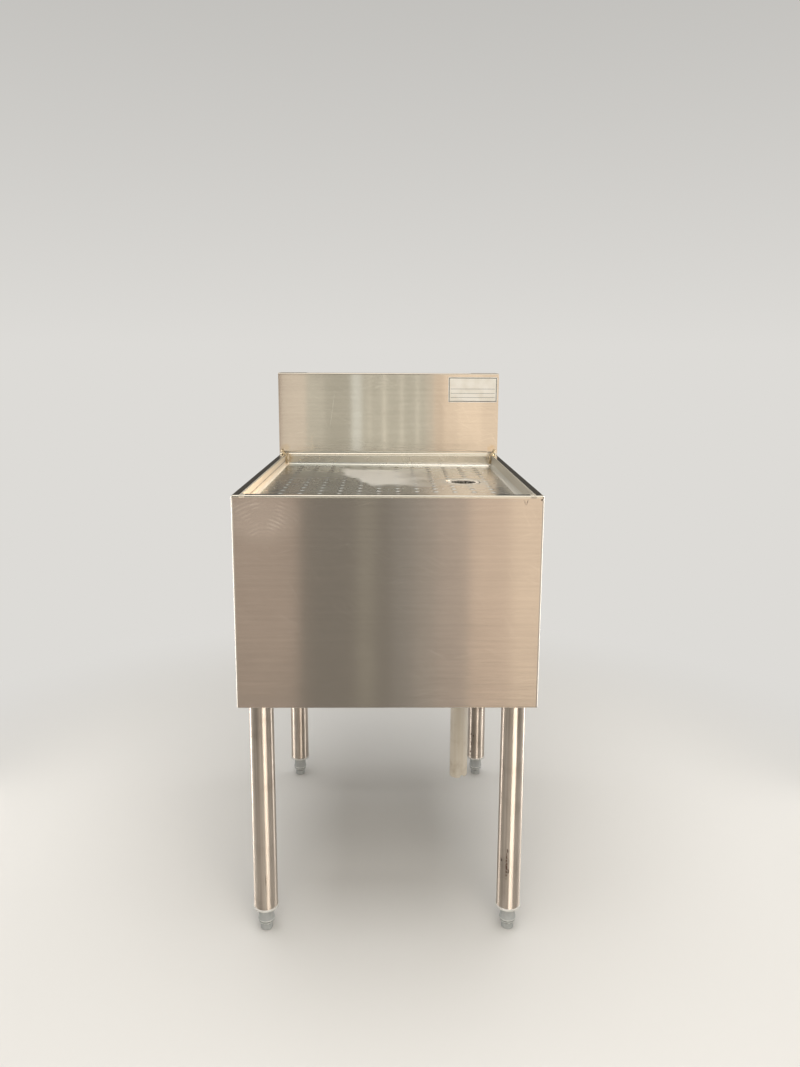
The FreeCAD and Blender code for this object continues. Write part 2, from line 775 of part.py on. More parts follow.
def foot_socket(name, side, end):
    """A collar under the tube with a plug inside it, bored for the foot's stud."""
    x, y = leg_axis(side, end)
    plug = leg_radius - s.leg_wall - s.push_fit
    collar = leg_radius + s.collar_lip
    plug_top = s.tube_end + s.plug_length
    section = [
        (stud_bore, collar_low), (collar, collar_low), (collar, s.tube_end),
        (plug, s.tube_end), (plug, plug_top), (stud_bore, plug_top),
    ]
    body = turned(f"foot_socket_{name}", section, x, y)
    round_edges(body, s.collar_round, any_of(hoop(collar, collar_low), hoop(collar, s.tube_end)))


def foot_stud(name, side, end):
    x, y = leg_axis(side, end)
    radius = s.foot_stud / 2
    low = foot_top - s.stud_grip
    high = foot_top + s.stud_reach
    section = [
        (zero, low), (radius, low), (radius, high - s.stud_chamfer),
        (radius - s.stud_chamfer, high), (zero, high),
    ]
    turned(f"foot_stud_{name}", section, x, y)


def levelling_foot(name, side, end):
    """A bullet foot: straight neck, flared belly, a ring with a groove above it, and a narrower tip."""
    x, y = leg_axis(side, end)
    neck = s.neck_width / 2
    belly = s.belly_width / 2
    ring = s.ring_width / 2
    tip = s.tip_width / 2
    neck_low = foot_top - s.neck_height
    socket_low = foot_top - s.stud_grip - s.running_fit
    section = [
        (zero, zero), (tip, zero), (tip, s.tip_level),
        (tip - s.undercut, s.tip_level + s.undercut_height), (ring, s.ring_level),
        (ring - s.ring_groove, (s.ring_level + s.belly_level) / 2), (belly, s.belly_level),
        (neck, neck_low), (neck, foot_top),
        (stud_bore, foot_top), (stud_bore, socket_low), (zero, socket_low),
    ]
    body = turned(f"levelling_foot_{name}", section, x, y)
    round_edges(body, s.tip_round, hoop(tip, zero))
    round_edges(body, s.bead_round, any_of(hoop(ring, s.ring_level), hoop(belly, s.belly_level)))
    round_edges(body, s.neck_round, hoop(neck, neck_low))


# The drain.

throat = s.drain_throat / 2
throat_outside = throat + s.drain_wall
pipe_radius = s.pipe_diameter / 2
pipe_bore = pipe_radius - s.pipe_wall
cone_top = seat_level - s.thread_length
outlet_top = cone_top - s.drain_cone
outlet_low = outlet_top - s.outlet_length
washer_top = seat_level - s.sheet
nut_top = washer_top - s.washer_thick
adapter_bore = pipe_radius + s.push_fit
adapter_low = outlet_low - s.adapter_step - s.adapter_grip


def drain_body():
    """A flanged cup that narrows to a threaded outlet."""
    flange_low = seat_level + s.gasket_height
    flange_top = flange_low + s.flange_height
    section = [
        (throat, flange_top), (s.drain_flange / 2, flange_top), (s.drain_flange / 2, flange_low),
        (throat_outside, flange_low), (throat_outside, cone_top), (pipe_radius, outlet_top),
        (pipe_radius, outlet_low), (pipe_bore, outlet_low), (pipe_bore, outlet_top), (throat, cone_top),
    ]
    turned("drain_body", section, drain_x, drain_y)


def drain_clamp():
    hole = throat_outside + s.push_fit
    sleeve("drain_gasket", hole, s.drain_flange / 2, seat_level, seat_level + s.gasket_height,
           drain_x, drain_y)
    sleeve("drain_washer", hole, s.locknut_across / 2, nut_top, washer_top, drain_x, drain_y)
    nut = ring_solid("drain_locknut", hexagon("locknut_hexagon", s.locknut_across, s.locknut_height),
                     hole * 2, s.locknut_height)
    nut.Label = "drain_locknut"
    place(nut, drain_x, drain_y, nut_top - s.locknut_height)
    parts.append(nut)


def pipe_adapter():
    """A plastic socket screwed on the outlet above and cemented on the pipe below."""
    outside = adapter_bore + s.adapter_wall
    rib = outside + s.adapter_rib
    step_low = outlet_low - s.adapter_step
    section = [
        (adapter_bore, outlet_top), (rib, outlet_top), (rib, outlet_low), (outside, step_low),
        (outside, adapter_low), (adapter_bore, adapter_low), (adapter_bore, step_low),
        (pipe_bore, step_low), (pipe_bore, outlet_low), (adapter_bore, outlet_low),
    ]
    turned("pipe_adapter", section, drain_x, drain_y)


def drain_pipe():
    sleeve("drain_pipe", pipe_bore, pipe_radius, s.pipe_end, outlet_low - s.adapter_step, drain_x, drain_y)


def build():
    drainboard_top()
    backsplash_shell()
    front_apron()
    rear_rail()
    for name, side in SIDES.items():
        backsplash_end(name, side)
        side_panel(name, side)
        leg_channel(name, side)
    for name, side, end in CORNERS:
        leg_gusset(name, side, end)
        leg_tube(name, side, end)
        foot_socket(name, side, end)
        foot_stud(name, side, end)
        levelling_foot(name, side, end)
    leg_fixings()
    drain_body()
    drain_clamp()
    pipe_adapter()
    drain_pipe()
    doc.recompute()


def check():
    for item in doc.Objects:
        if {"Invalid", "Error"} & set(item.State):
            raise RuntimeError(f"{item.Label} failed: {item.State}")
    for item in parts:
        if item.Shape.isNull() or not item.Shape.isValid() or not item.Shape.Solids:
            raise RuntimeError(f"{item.Label} has no sound solid")


def write():
    os.makedirs("parts", exist_ok=True)
    for item in parts:
        item.Shape.exportStep(f"parts/{item.Label}.step")
        print(f"{item.Label}: {len(item.Shape.Solids)} solid, {item.Shape.Volume / 1000:.1f} cm3")


build()
check()
write()
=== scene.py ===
import math

import bmesh
import bpy
from mathutils import Matrix, Vector, noise


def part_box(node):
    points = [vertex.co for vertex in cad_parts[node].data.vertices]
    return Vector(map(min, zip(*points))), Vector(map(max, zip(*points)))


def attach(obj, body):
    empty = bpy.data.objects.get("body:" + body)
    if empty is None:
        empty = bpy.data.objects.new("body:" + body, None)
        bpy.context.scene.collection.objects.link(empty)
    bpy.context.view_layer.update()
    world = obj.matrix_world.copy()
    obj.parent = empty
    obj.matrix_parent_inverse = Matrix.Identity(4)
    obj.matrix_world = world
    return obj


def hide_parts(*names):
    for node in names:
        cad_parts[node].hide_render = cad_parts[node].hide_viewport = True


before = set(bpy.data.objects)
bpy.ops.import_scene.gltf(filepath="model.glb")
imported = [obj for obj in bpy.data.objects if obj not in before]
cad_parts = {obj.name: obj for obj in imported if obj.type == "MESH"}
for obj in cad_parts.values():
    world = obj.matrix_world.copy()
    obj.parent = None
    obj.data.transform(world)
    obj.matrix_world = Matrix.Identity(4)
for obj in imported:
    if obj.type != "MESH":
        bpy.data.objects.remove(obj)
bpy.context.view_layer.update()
scene = bpy.context.scene
scene.view_settings.view_transform = "Standard"
mm = 0.001
corners = ("front_left", "front_right", "rear_left", "rear_right")
print("frame loaded:", len(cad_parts), "nodes")


def atCorners(name):
    return [f"{name}_{corner}" for corner in corners]


def linear(hexColour):
    # sRGB hex to the linear colour that the nodes take
    channels = [int(hexColour[i:i + 2], 16) / 255 for i in (1, 3, 5)]
    return [c / 12.92 if c <= 0.04045 else ((c + 0.055) / 1.055) ** 2.4 for c in channels] + [1.0]


def setInputs(tree, node, inputs):
    # links or sets each of a node's inputs
    for key, value in dict(inputs).items():
        if isinstance(value, bpy.types.Node):
            value = next(socket for socket in value.outputs if socket.enabled)
        if isinstance(value, bpy.types.NodeSocket):
            tree.links.new(value, node.inputs[key])
        else:
            node.inputs[key].default_value = value


def addNode(tree, kind, inputs=(), **settings):
    # adds a node, sets it up, and links or sets its inputs
    node = tree.nodes.new(kind)
    for name, value in settings.items():
        setattr(node, name, value)
    setInputs(tree, node, inputs)
    return node


def between(start, end, low=0.0, high=1.0):
    # inputs that carry the span from start to end over to the one from low to high
    return {"From Min": start, "From Max": end, "To Min": low, "To Max": high}


def layColours(tree, tone, *layers):
    # lays colours over a first one, each as far as its mask says
    tone = linear(tone) if isinstance(tone, str) else tone
    for mask, colour in layers:
        tone = addNode(tree, "ShaderNodeMix", {0: mask, 6: tone, 7: linear(colour)}, data_type="RGBA")
    return tone


def newMaterial(name):
    material = bpy.data.materials.new(name)
    material.use_nodes = True
    tree = material.node_tree
    coords = addNode(tree, "ShaderNodeTexCoord").outputs["Object"]
    return material, tree, tree.nodes["Principled BSDF"], coords


def dress(material, *nodes):
    for node in nodes:
        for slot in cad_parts[node].material_slots:
            slot.material = material


def addPiece(name, mesh, material=None):
    piece = bpy.data.objects.new(name, mesh)
    scene.collection.objects.link(piece)
    if material:
        mesh.materials.clear()
        mesh.materials.append(material)
    return piece


# camera, fitted to the photograph's outline

cameraFit = {
    "place": (2.2 * mm, -1493.1 * mm, 918.7 * mm),
    "yaw": -0.0129,
    "pitch": 0.1692,
    "roll": 0.0044,
    "frame": (800, 1067),
    "focalPixels": 827.94,
    "axisAboveMiddle": 29.32,
}


def makeCamera(fit):
    yaw, pitch, roll = fit["yaw"], fit["pitch"], fit["roll"]
    level = Vector((-math.sin(yaw), math.cos(yaw), 0))
    right = Vector((math.cos(yaw), math.sin(yaw), 0))
    forward = level * math.cos(pitch) - Vector((0, 0, math.sin(pitch)))
    up = right.cross(forward)
    across = right * math.cos(roll) + up * math.sin(roll)
    upright = up * math.cos(roll) - right * math.sin(roll)
    data = bpy.data.cameras.new("camera")
    longSide = max(fit["frame"])
    data.lens = fit["focalPixels"] / longSide * data.sensor_width
    data.shift_y = -fit["axisAboveMiddle"] / longSide
    camera = bpy.data.objects.new("camera", data)
    scene.collection.objects.link(camera)
    turn = Matrix((across, upright, -forward)).transposed()
    camera.matrix_world = Matrix.Translation(fit["place"]) @ turn.to_4x4()
    scene.camera = camera


makeCamera(cameraFit)
print("camera placed")


# studio: pale floor and backdrop, soft boxes, and a dimmer room behind the camera

studio = {
    "floorSize": 60.0,
    "floorColour": "#d8d6d2", "floorRoughness": 0.9,
    "fade": (0.75, 1.4),  # radius where the lit floor starts and ends its change to the plain horizon
    "backdrop": "#dddbd7",
    "room": "#6a635a",
    "roomEdge": (-0.7, 0.1),  # how far round from the backdrop the room's tone starts
    "zenith": "#8f8e8b", "zenithRise": (0.02, 0.9),
    # soft boxes that face the sheets squarely: name, place, size, colour, watts
    # where two overlap, their planes differ, or one would hide the other
    "square": (
        ("warmRight", (0.538, -1.8, 1.0), (0.584, 2.0), "#ffecd6", 4.26),
        ("warmPeak", (0.365, -1.79, 1.0), (0.11, 2.0), "#ffecd6", 0.1),
        ("warmEdge", (0.223, -1.8, 1.0), (0.046, 2.0), "#ffecd6", 0.27),
        ("warmRise", (0.182, -1.8, 1.0), (0.036, 2.0), "#ffe6d4", 0.05),
        ("warmLeftLow", (-0.62, -1.8, 0.3), (0.62, 0.6), "#ffe6d4", 0.72),
        ("warmLeftHigh", (-0.455, -1.8, 0.95), (0.15, 1.1), "#ffe0d0", 0.168),
        ("fill", (-0.164, -2.2, 0.92), (0.772, 0.94), "#fffff0", 1.38),
        ("fillMiddle", (-0.004, -2.195, 0.92), (0.372, 0.94), "#fffff0", 0.115),
        ("fillLeft", (-0.372, -2.195, 0.92), (0.096, 0.94), "#fffaf0", 0.04),
        ("coolStrip", (-0.16, -2.19, 0.9), (0.05, 0.9), "#e2f2ff", 0.053),
        ("seamLeft", (-0.094, -2.19, 0.9), (0.012, 0.9), "#fffaf0", 0.008),
        ("seamMiddle", (-0.02, -2.19, 0.9), (0.012, 0.9), "#fffaf0", 0.017),
        ("seamRight", (0.066, -2.19, 0.9), (0.012, 0.9), "#fffaf0", 0.014),
        ("seamEnd", (0.142, -2.19, 0.9), (0.012, 0.9), "#fffaf0", 0.014),
        ("apronAll", (0.01, -1.81, 1.0), (1.22, 2.0), "#fffbf5", 1.2),
        ("apronLeft", (-0.43, -1.8, 1.0), (0.27, 2.0), "#ffdfcb", 0.47),
        ("apronSeam", (-0.072, -1.8, 1.0), (0.056, 2.0), "#fffbe0", 0.042),
        ("apronMiddle", (0.05, -1.8, 1.0), (0.07, 2.0), "#ffffff", 0.04),
        ("apronRise", (0.12, -1.8, 1.0), (0.07, 2.0), "#fff1e6", 0.09),
        ("apronWarm", (0.21, -1.8, 1.0), (0.11, 2.0), "#ffe7d8", 0.23),
        ("apronWarmer", (0.335, -1.8, 1.0), (0.14, 2.0), "#ffe2ca", 0.56),
        ("apronRight", (0.515, -1.8, 1.0), (0.22, 2.0), "#ffe6cd", 1.2),
    ),
    # soft boxes with an aim of their own: name, place, size, aim, colour, watts
    "aimed": (
        ("overhead", (0.0, -0.2, 3.0), (2.4, 2.4), (0, 0, 0), "#ffffff", 70.0),
        ("front", (0.2, -2.2, 2.3), (2.2, 1.6), (0, 0, 0.3), "#fffcf6", 30.0),
        ("ceiling", (0.0, -0.25, 3.0), (3.0, 2.5), (0, -0.25, 0), "#fff8ec", 38.0),
        ("ceilingBack", (0.0, 1.75, 3.0), (3.0, 1.5), (0, 1.75, 0), "#fff8ec", 9.0),
        ("trayRight", (0.72, 0.5, 0.8), (0.5, 0.1), (-0.2, 0.05, 0.72), "#ffe4c2", 8.4),
        ("trayDrain", (0.72, 0.5, 0.96), (0.5, 0.2), (-0.2, 0.05, 0.72), "#ffe4c2", 2.4),
        ("legShine", (0.42, -1.25, 0.2), (0.62, 0.4), (0.02, -0.26, 0.2), "#fff8ee", 7.0),
        ("sheetLeft", (-1.9, -1.5, 0.7), (3.1, 1.8), (0, -0.3, 0.6), "#fff8f0", 11.9),
        ("sheetRight", (1.9, -1.5, 0.7), (3.1, 1.8), (0, -0.3, 0.6), "#fff8f0", 11.9),
        ("edgeLeft", (-0.95, 0.12, 0.5), (0.2, 1.0), (0, 0, 0.5), "#fffaf4", 6.0),
        ("edgeRight", (0.95, 0.12, 0.55), (0.2, 1.0), (0, 0, 0.55), "#fffaf4", 5.0),
    ),
    # the next four go by the start of a lamp's name
    "mattOnly": ("overhead", "front"),  # lights matt surfaces and leaves the reflections alone
    "shineOnly": ("ceiling", "tray", "leg", "sheet", "edge"),  # shows in the metal alone
    "linked": {  # lights these nodes alone
        "tray": ("drainboard_top",),
        "leg": atCorners("leg_tube"),
        "apron": ("front_apron",),
        "sheet": ("front_apron", "backsplash_shell", "side_panel_left", "side_panel_right",
                  "backsplash_end_left", "backsplash_end_right", "rear_rail"),
    },
    "spare": ("warm", "fill", "cool", "seam"),  # leaves the apron out
    # dark cards behind the splash on both sides, which the flat rims mirror
    "cards": ((-0.48, 0.75, 0.925), (0.48, 0.75, 0.925)), "cardSize": (0.52, 0.65), "cardTone": "#524f4b",
}


def roundTheRoom(tree, kit, ahead):
    # the backdrop's colour ahead, the room's behind
    side = addNode(tree, "ShaderNodeMapRange", {"Value": ahead, **between(*kit["roomEdge"])},
                   interpolation_type="SMOOTHSTEP")
    return layColours(tree, kit["room"], (side, kit["backdrop"]))


def makeFloor(kit):
    half = kit["floorSize"] / 2
    mesh = bpy.data.meshes.new("floor")
    mesh.from_pydata([(-half, -half, 0), (half, -half, 0), (half, half, 0), (-half, half, 0)], [],
                     [(0, 1, 2, 3)])
    material, tree, shader, coords = newMaterial("matt studio floor")  # even, no gloss
    setInputs(tree, shader, {"Base Color": linear(kit["floorColour"]), "Roughness": kit["floorRoughness"]})
    radius = addNode(tree, "ShaderNodeVectorMath", {0: coords}, operation="LENGTH")
    away = addNode(tree, "ShaderNodeMapRange", {"Value": radius, **between(*kit["fade"])},
                   interpolation_type="SMOOTHSTEP")
    heading = addNode(tree, "ShaderNodeVectorMath", {0: coords}, operation="NORMALIZE")
    ahead = addNode(tree, "ShaderNodeSeparateXYZ", {0: heading}).outputs["Y"]
    plain = addNode(tree, "ShaderNodeEmission", {"Color": roundTheRoom(tree, kit, ahead)})
    seam = addNode(tree, "ShaderNodeMixShader", {0: away, 1: shader, 2: plain})
    setInputs(tree, tree.nodes["Material Output"], {"Surface": seam})
    addPiece("floor", mesh, material)


def makeSky(kit):
    world = bpy.data.worlds.new("studio")
    scene.world = world
    world.use_nodes = True
    tree = world.node_tree
    direction = addNode(tree, "ShaderNodeTexCoord").outputs["Generated"]
    heading = addNode(tree, "ShaderNodeSeparateXYZ", {0: direction}).outputs
    lift = addNode(tree, "ShaderNodeMapRange", {"Value": heading["Z"], **between(*kit["zenithRise"])})
    sky = layColours(tree, roundTheRoom(tree, kit, heading["Y"]), (lift, kit["zenith"]))
    setInputs(tree, tree.nodes["Background"], {"Color": sky})


def linkLamp(box, nodes, state):
    lit = bpy.data.collections.new(box.name)
    box.light_linking.receiver_collection = lit
    for node in nodes:
        lit.objects.link(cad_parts[node])
    for entry in lit.collection_objects:
        entry.light_linking.link_state = state


def hangLamps(kit):
    square = [(name, place, size, (place[0], 0, place[2]), colour, watts)
              for name, place, size, colour, watts in kit["square"]]
    for name, place, size, aim, colour, watts in (*square, *kit["aimed"]):
        lamp = bpy.data.lights.new(name, "AREA")
        lamp.shape = "RECTANGLE"
        lamp.size, lamp.size_y = size
        lamp.color = linear(colour)[:3]
        lamp.energy = watts
        box = bpy.data.objects.new(name, lamp)
        scene.collection.objects.link(box)
        box.location = place
        box.rotation_euler = (Vector(aim) - Vector(place)).to_track_quat("-Z", "Y").to_euler()
        box.visible_camera = False
        box.visible_glossy = not name.startswith(kit["mattOnly"])
        box.visible_diffuse = not name.startswith(kit["shineOnly"])
        for start, nodes in kit["linked"].items():
            if name.startswith(start):
                linkLamp(box, nodes, "INCLUDE")
        if name.startswith(kit["spare"]):
            linkLamp(box, kit["linked"]["apron"], "EXCLUDE")


def hangCards(kit):
    material, tree = newMaterial("dark studio card")[:2]  # flat and unlit
    plain = addNode(tree, "ShaderNodeEmission", {"Color": linear(kit["cardTone"])})
    setInputs(tree, tree.nodes["Material Output"], {"Surface": plain})
    wide, high = (size / 2 for size in kit["cardSize"])
    for x, y, z in kit["cards"]:
        mesh = bpy.data.meshes.new("card")
        mesh.from_pydata([(x - wide, y, z - high), (x + wide, y, z - high), (x + wide, y, z + high),
                          (x - wide, y, z + high)], [], [(0, 1, 2, 3)])
        card = addPiece("card", mesh, material)
        card.visible_camera = card.visible_diffuse = card.visible_shadow = False


makeFloor(studio)
makeSky(studio)
hangLamps(studio)
hangCards(studio)
print("studio lit")


# masks that several finishes share

markGrain = {
    "grit": 3 * mm, "gritSpan": (0.3, 0.6),
    "spotEdge": (1.0, 0.35),  # shares of a spot's radius where it starts and where it is full
}
endless = 9000  # mm, the half size of a mark along an axis on which it doesn't end


def softSpot(tree, coords, place, size, turn=(0.0, 0.0, 0.0)):
    # 1 in the middle of an ellipsoid, 0 at its skin
    space = addNode(tree, "ShaderNodeMapping", {"Vector": coords, "Location": place, "Rotation": turn,
                    "Scale": size}, vector_type="TEXTURE")
    reach = addNode(tree, "ShaderNodeVectorMath", {0: space}, operation="LENGTH")
    return addNode(tree, "ShaderNodeMapRange", {"Value": reach, **between(*markGrain["spotEdge"])},
                   interpolation_type="SMOOTHSTEP")


def addMarks(tree, coords, tone, marks):
    # lays small stains, scratches and tints over a tone, each broken up by a fine grain
    grit = addNode(tree, "ShaderNodeTexNoise",
                   {"Vector": coords, "Scale": 1 / markGrain["grit"], "Detail": 3.0})
    for place, size, degrees, colour, strength in marks:
        spot = softSpot(tree, coords, Vector(place) * mm, Vector(size) * mm, (0, math.radians(degrees), 0))
        broken = addNode(tree, "ShaderNodeMapRange",
                         {"Value": grit, **between(*markGrain["gritSpan"], high=strength)})
        share = addNode(tree, "ShaderNodeMath", {0: spot, 1: broken}, operation="MULTIPLY")
        tone = layColours(tree, tone, (share, colour))
    return tone


def ringMark(level, reach, colour, strength):
    # a mark all round a turned piece
    return (0, 0, level), (endless, endless, reach), 0, colour, strength


def drawnGrain(tree, coords, size, detail=3.0, turn=(0.0, 0.0, 0.0)):
    # the grain that rolling, brushing or moulding draws out, its length, width and depth in mm
    space = addNode(tree, "ShaderNodeMapping", {"Vector": coords, "Rotation": turn,
                    "Scale": Vector(size) * mm}, vector_type="TEXTURE")
    return addNode(tree, "ShaderNodeTexNoise", {"Vector": space, "Scale": 1.0, "Detail": detail})


# belt-sanded stainless sheet: satin, with straight fine lines that smear every reflection across them,
# cloudy where it was wiped, with hairline scratches

apronFinish = {
    "name": "belt-sanded stainless apron",
    "pale": "#cec7bd", "deep": "#c6bfb5", "scratchTone": "#ece6dc",
    "line": (60, 0.5, 0.5),  # mm; real lines are 0.1 mm wide, drawn coarser so that they show
    "score": (60, 0.25, 0.25), "tip": (0.04, 0.2),  # slopes of the scored lines
    "band": (260, 5, 5),
    "cloud": 70 * mm,
    "toneSpan": (1.05, 1.95), "glossSpan": (1.0, 2.0), "scoreSpan": (0.25, 0.75),
    "scratch": (70, 400, 0.5), "scratchTurns": (0.5, -0.28, 1.1),
    "scratchSpan": (0.7, 0.76), "scratchShow": 0.35, "scratchDull": 0.1,
    "roughness": (0.15, 0.19), "drawnOut": 0.97,
    "smear": (0, 0.4, 1),
    "waves": 260 * mm, "waveHeight": 0.45 * mm,
    "swirls": {"centre": (-180, -304.8, 648), "place": (-190, -304.8, 694), "reach": (75, 60, 48),
               "spacing": 6 * mm, "haze": 0.4, "arcs": 0.95},
    # place, half sizes, turn in degrees, colour, strength: a vee scratch and a dark dot by the right corner
    "marks": (
        ((203.4, -304.8, 719), (1.0, 9, 6.5), 18, "#6f6a61", 0.9),
        ((199.6, -304.8, 719), (1.0, 9, 6.0), -20, "#6f6a61", 0.8),
        ((224.6, -304.8, 722.5), (2.2, 9, 2.2), 0, "#3c3833", 1.0),
        ((-60, -304.8, 655), (1.3, 9, 1.3), 0, "#f2efe8", 1.0),
    ),
}
splashFinish = {
    **apronFinish, "name": "belt-sanded stainless splash", "roughness": (0.085, 0.1), "tip": (0.015, 0.1),
    "pale": "#c8c1b7", "deep": "#c0b9af",
    "swirls": {"centre": (-15, 241.3, 850), "place": (-15, 241.3, 880), "reach": (50, 60, 26),
               "spacing": 8 * mm, "haze": 0.0, "arcs": 0.3},
    # a long leaning scratch, and the tint of the welds in the lower corners
    "marks": (
        ((-117, 241.3, 822), (0.9, 9, 50), 8, "#dedad1", 0.7),
        ((-216, 241.3, 742), (13, 9, 12), 0, "#c2ab80", 0.4),
        ((216, 241.3, 742), (12, 9, 11), 0, "#bfa577", 0.4),
    ),
}
sideFinish = {
    **apronFinish, "name": "belt-sanded stainless side", "smear": (0.4, 0, 1), "tip": (-0.05, 0.05),
    "line": (0.5, 60, 0.5), "score": (0.25, 60, 0.25), "band": (5, 260, 5),
    "scratch": (400, 70, 0.5), "scratchTurns": (0.0,),
    "swirls": {"centre": (228, 60, 560), "place": (228, 60, 620), "reach": (60, 90, 60),
               "spacing": 11 * mm, "haze": 0.0, "arcs": 0.3},
    "marks": (),
}
railFinish = {
    **apronFinish, "name": "belt-sanded stainless rail", "tip": (-0.05, 0.05),
    "swirls": {**apronFinish["swirls"], "centre": (90, 303, 400), "place": (90, 303, 440)},
    "marks": (),
}
wiping = {
    "wander": 7.0, "wanderScale": 0.3,
    "patchy": 24 * mm, "patchSpan": (0.42, 0.68),  # the cloth pressed harder here and there
    "strokeSpan": (0.2, 1.0),
}


def wipedSwirls(tree, coords, swirls):
    # faint arcs that a cloth left, as ring waves, which repeat every tau / 20 at a scale of 1
    space = addNode(tree, "ShaderNodeMapping",
                    {"Vector": coords, "Location": Vector(swirls["centre"]) * mm}, vector_type="TEXTURE")
    rings = addNode(tree, "ShaderNodeTexWave",
                    {"Vector": space, "Scale": math.tau / 20 / swirls["spacing"],
                     "Distortion": wiping["wander"], "Detail": 1.0, "Detail Scale": wiping["wanderScale"]},
                    wave_type="RINGS", rings_direction="Y")
    patchy = addNode(tree, "ShaderNodeTexNoise",
                     {"Vector": coords, "Scale": 1 / wiping["patchy"], "Detail": 3.0})
    pressed = addNode(tree, "ShaderNodeMapRange", {"Value": patchy, **between(*wiping["patchSpan"])})
    strokes = addNode(tree, "ShaderNodeMath", {0: rings.outputs["Fac"], 1: pressed}, operation="MULTIPLY")
    arcs = addNode(tree, "ShaderNodeMapRange",
                   {"Value": strokes, **between(*wiping["strokeSpan"], swirls["haze"], swirls["arcs"])})
    patch = softSpot(tree, coords, Vector(swirls["place"]) * mm, Vector(swirls["reach"]) * mm)
    return addNode(tree, "ShaderNodeMath", {0: arcs, 1: patch}, operation="MULTIPLY")


def brushedStainless(look):
    material, tree, shader, coords = newMaterial(look["name"])
    lines = drawnGrain(tree, coords, look["line"])
    bands = drawnGrain(tree, coords, look["band"], 2.0)
    clouds = addNode(tree, "ShaderNodeTexNoise", {"Vector": coords, "Scale": 1 / look["cloud"],
                     "Detail": 5.0, "Distortion": 0.6})
    strokes = addNode(tree, "ShaderNodeMath", {0: lines, 1: bands}, operation="ADD")
    relief = addNode(tree, "ShaderNodeMath", {0: strokes, 1: clouds}, operation="ADD")
    share = addNode(tree, "ShaderNodeMapRange", {"Value": relief, **between(*look["toneSpan"])})
    glossy, dull = look["roughness"]
    gloss = addNode(tree, "ShaderNodeMapRange",
                    {"Value": relief, **between(*look["glossSpan"], dull, glossy)})
    scuffs = wipedSwirls(tree, coords, look["swirls"])
    for turn in look["scratchTurns"]:
        hairs = drawnGrain(tree, coords, look["scratch"], 1.0, (0, turn, 0))
        cut = addNode(tree, "ShaderNodeMapRange",
                      {"Value": hairs, **between(*look["scratchSpan"], high=look["scratchShow"])})
        scuffs = addNode(tree, "ShaderNodeMath", {0: scuffs, 1: cut}, operation="MAXIMUM")
    tone = layColours(tree, look["deep"], (share, look["pale"]), (scuffs, look["scratchTone"]))
    tone = addMarks(tree, coords, tone, look["marks"])
    rough = addNode(tree, "ShaderNodeMath", {0: scuffs, 1: look["scratchDull"], 2: gloss},
                    operation="MULTIPLY_ADD")
    dish = addNode(tree, "ShaderNodeTexNoise",
                   {"Vector": coords, "Scale": 1 / look["waves"], "Detail": 0.0})
    sag = addNode(tree, "ShaderNodeBump", {"Height": dish, "Strength": 1.0, "Distance": look["waveHeight"]})
    # each scored line leans the surface across itself
    scores = drawnGrain(tree, coords, look["score"], 1.0)
    tip = addNode(tree, "ShaderNodeMapRange",
                  {"Value": scores, **between(*look["scoreSpan"], *look["tip"])})
    across = addNode(tree, "ShaderNodeCombineXYZ", dict(enumerate(look["smear"])))
    slope = addNode(tree, "ShaderNodeVectorMath", {0: across, "Scale": tip}, operation="SCALE")
    scored = addNode(tree, "ShaderNodeVectorMath", {0: slope, 1: sag}, operation="ADD")
    scored = addNode(tree, "ShaderNodeVectorMath", {0: scored}, operation="NORMALIZE")
    setInputs(tree, shader, {"Base Color": tone, "Roughness": rough, "Normal": scored, "Tangent": across,
                             "Metallic": 1.0, "Anisotropic": look["drawnOut"]})
    return material


dress(brushedStainless(apronFinish), "front_apron")
dress(brushedStainless(railFinish), "rear_rail")
dress(brushedStainless(splashFinish), "backsplash_shell")
dress(brushedStainless(sideFinish), "side_panel_left", "side_panel_right", "backsplash_end_left",
      "backsplash_end_right")
print("sheet steel dressed")


# bright rolled stainless tray: nearly a mirror, a little wavy from forming, with a dried film where water
# stood, pale water spots, and straw and brown heat tint in the welded back corners

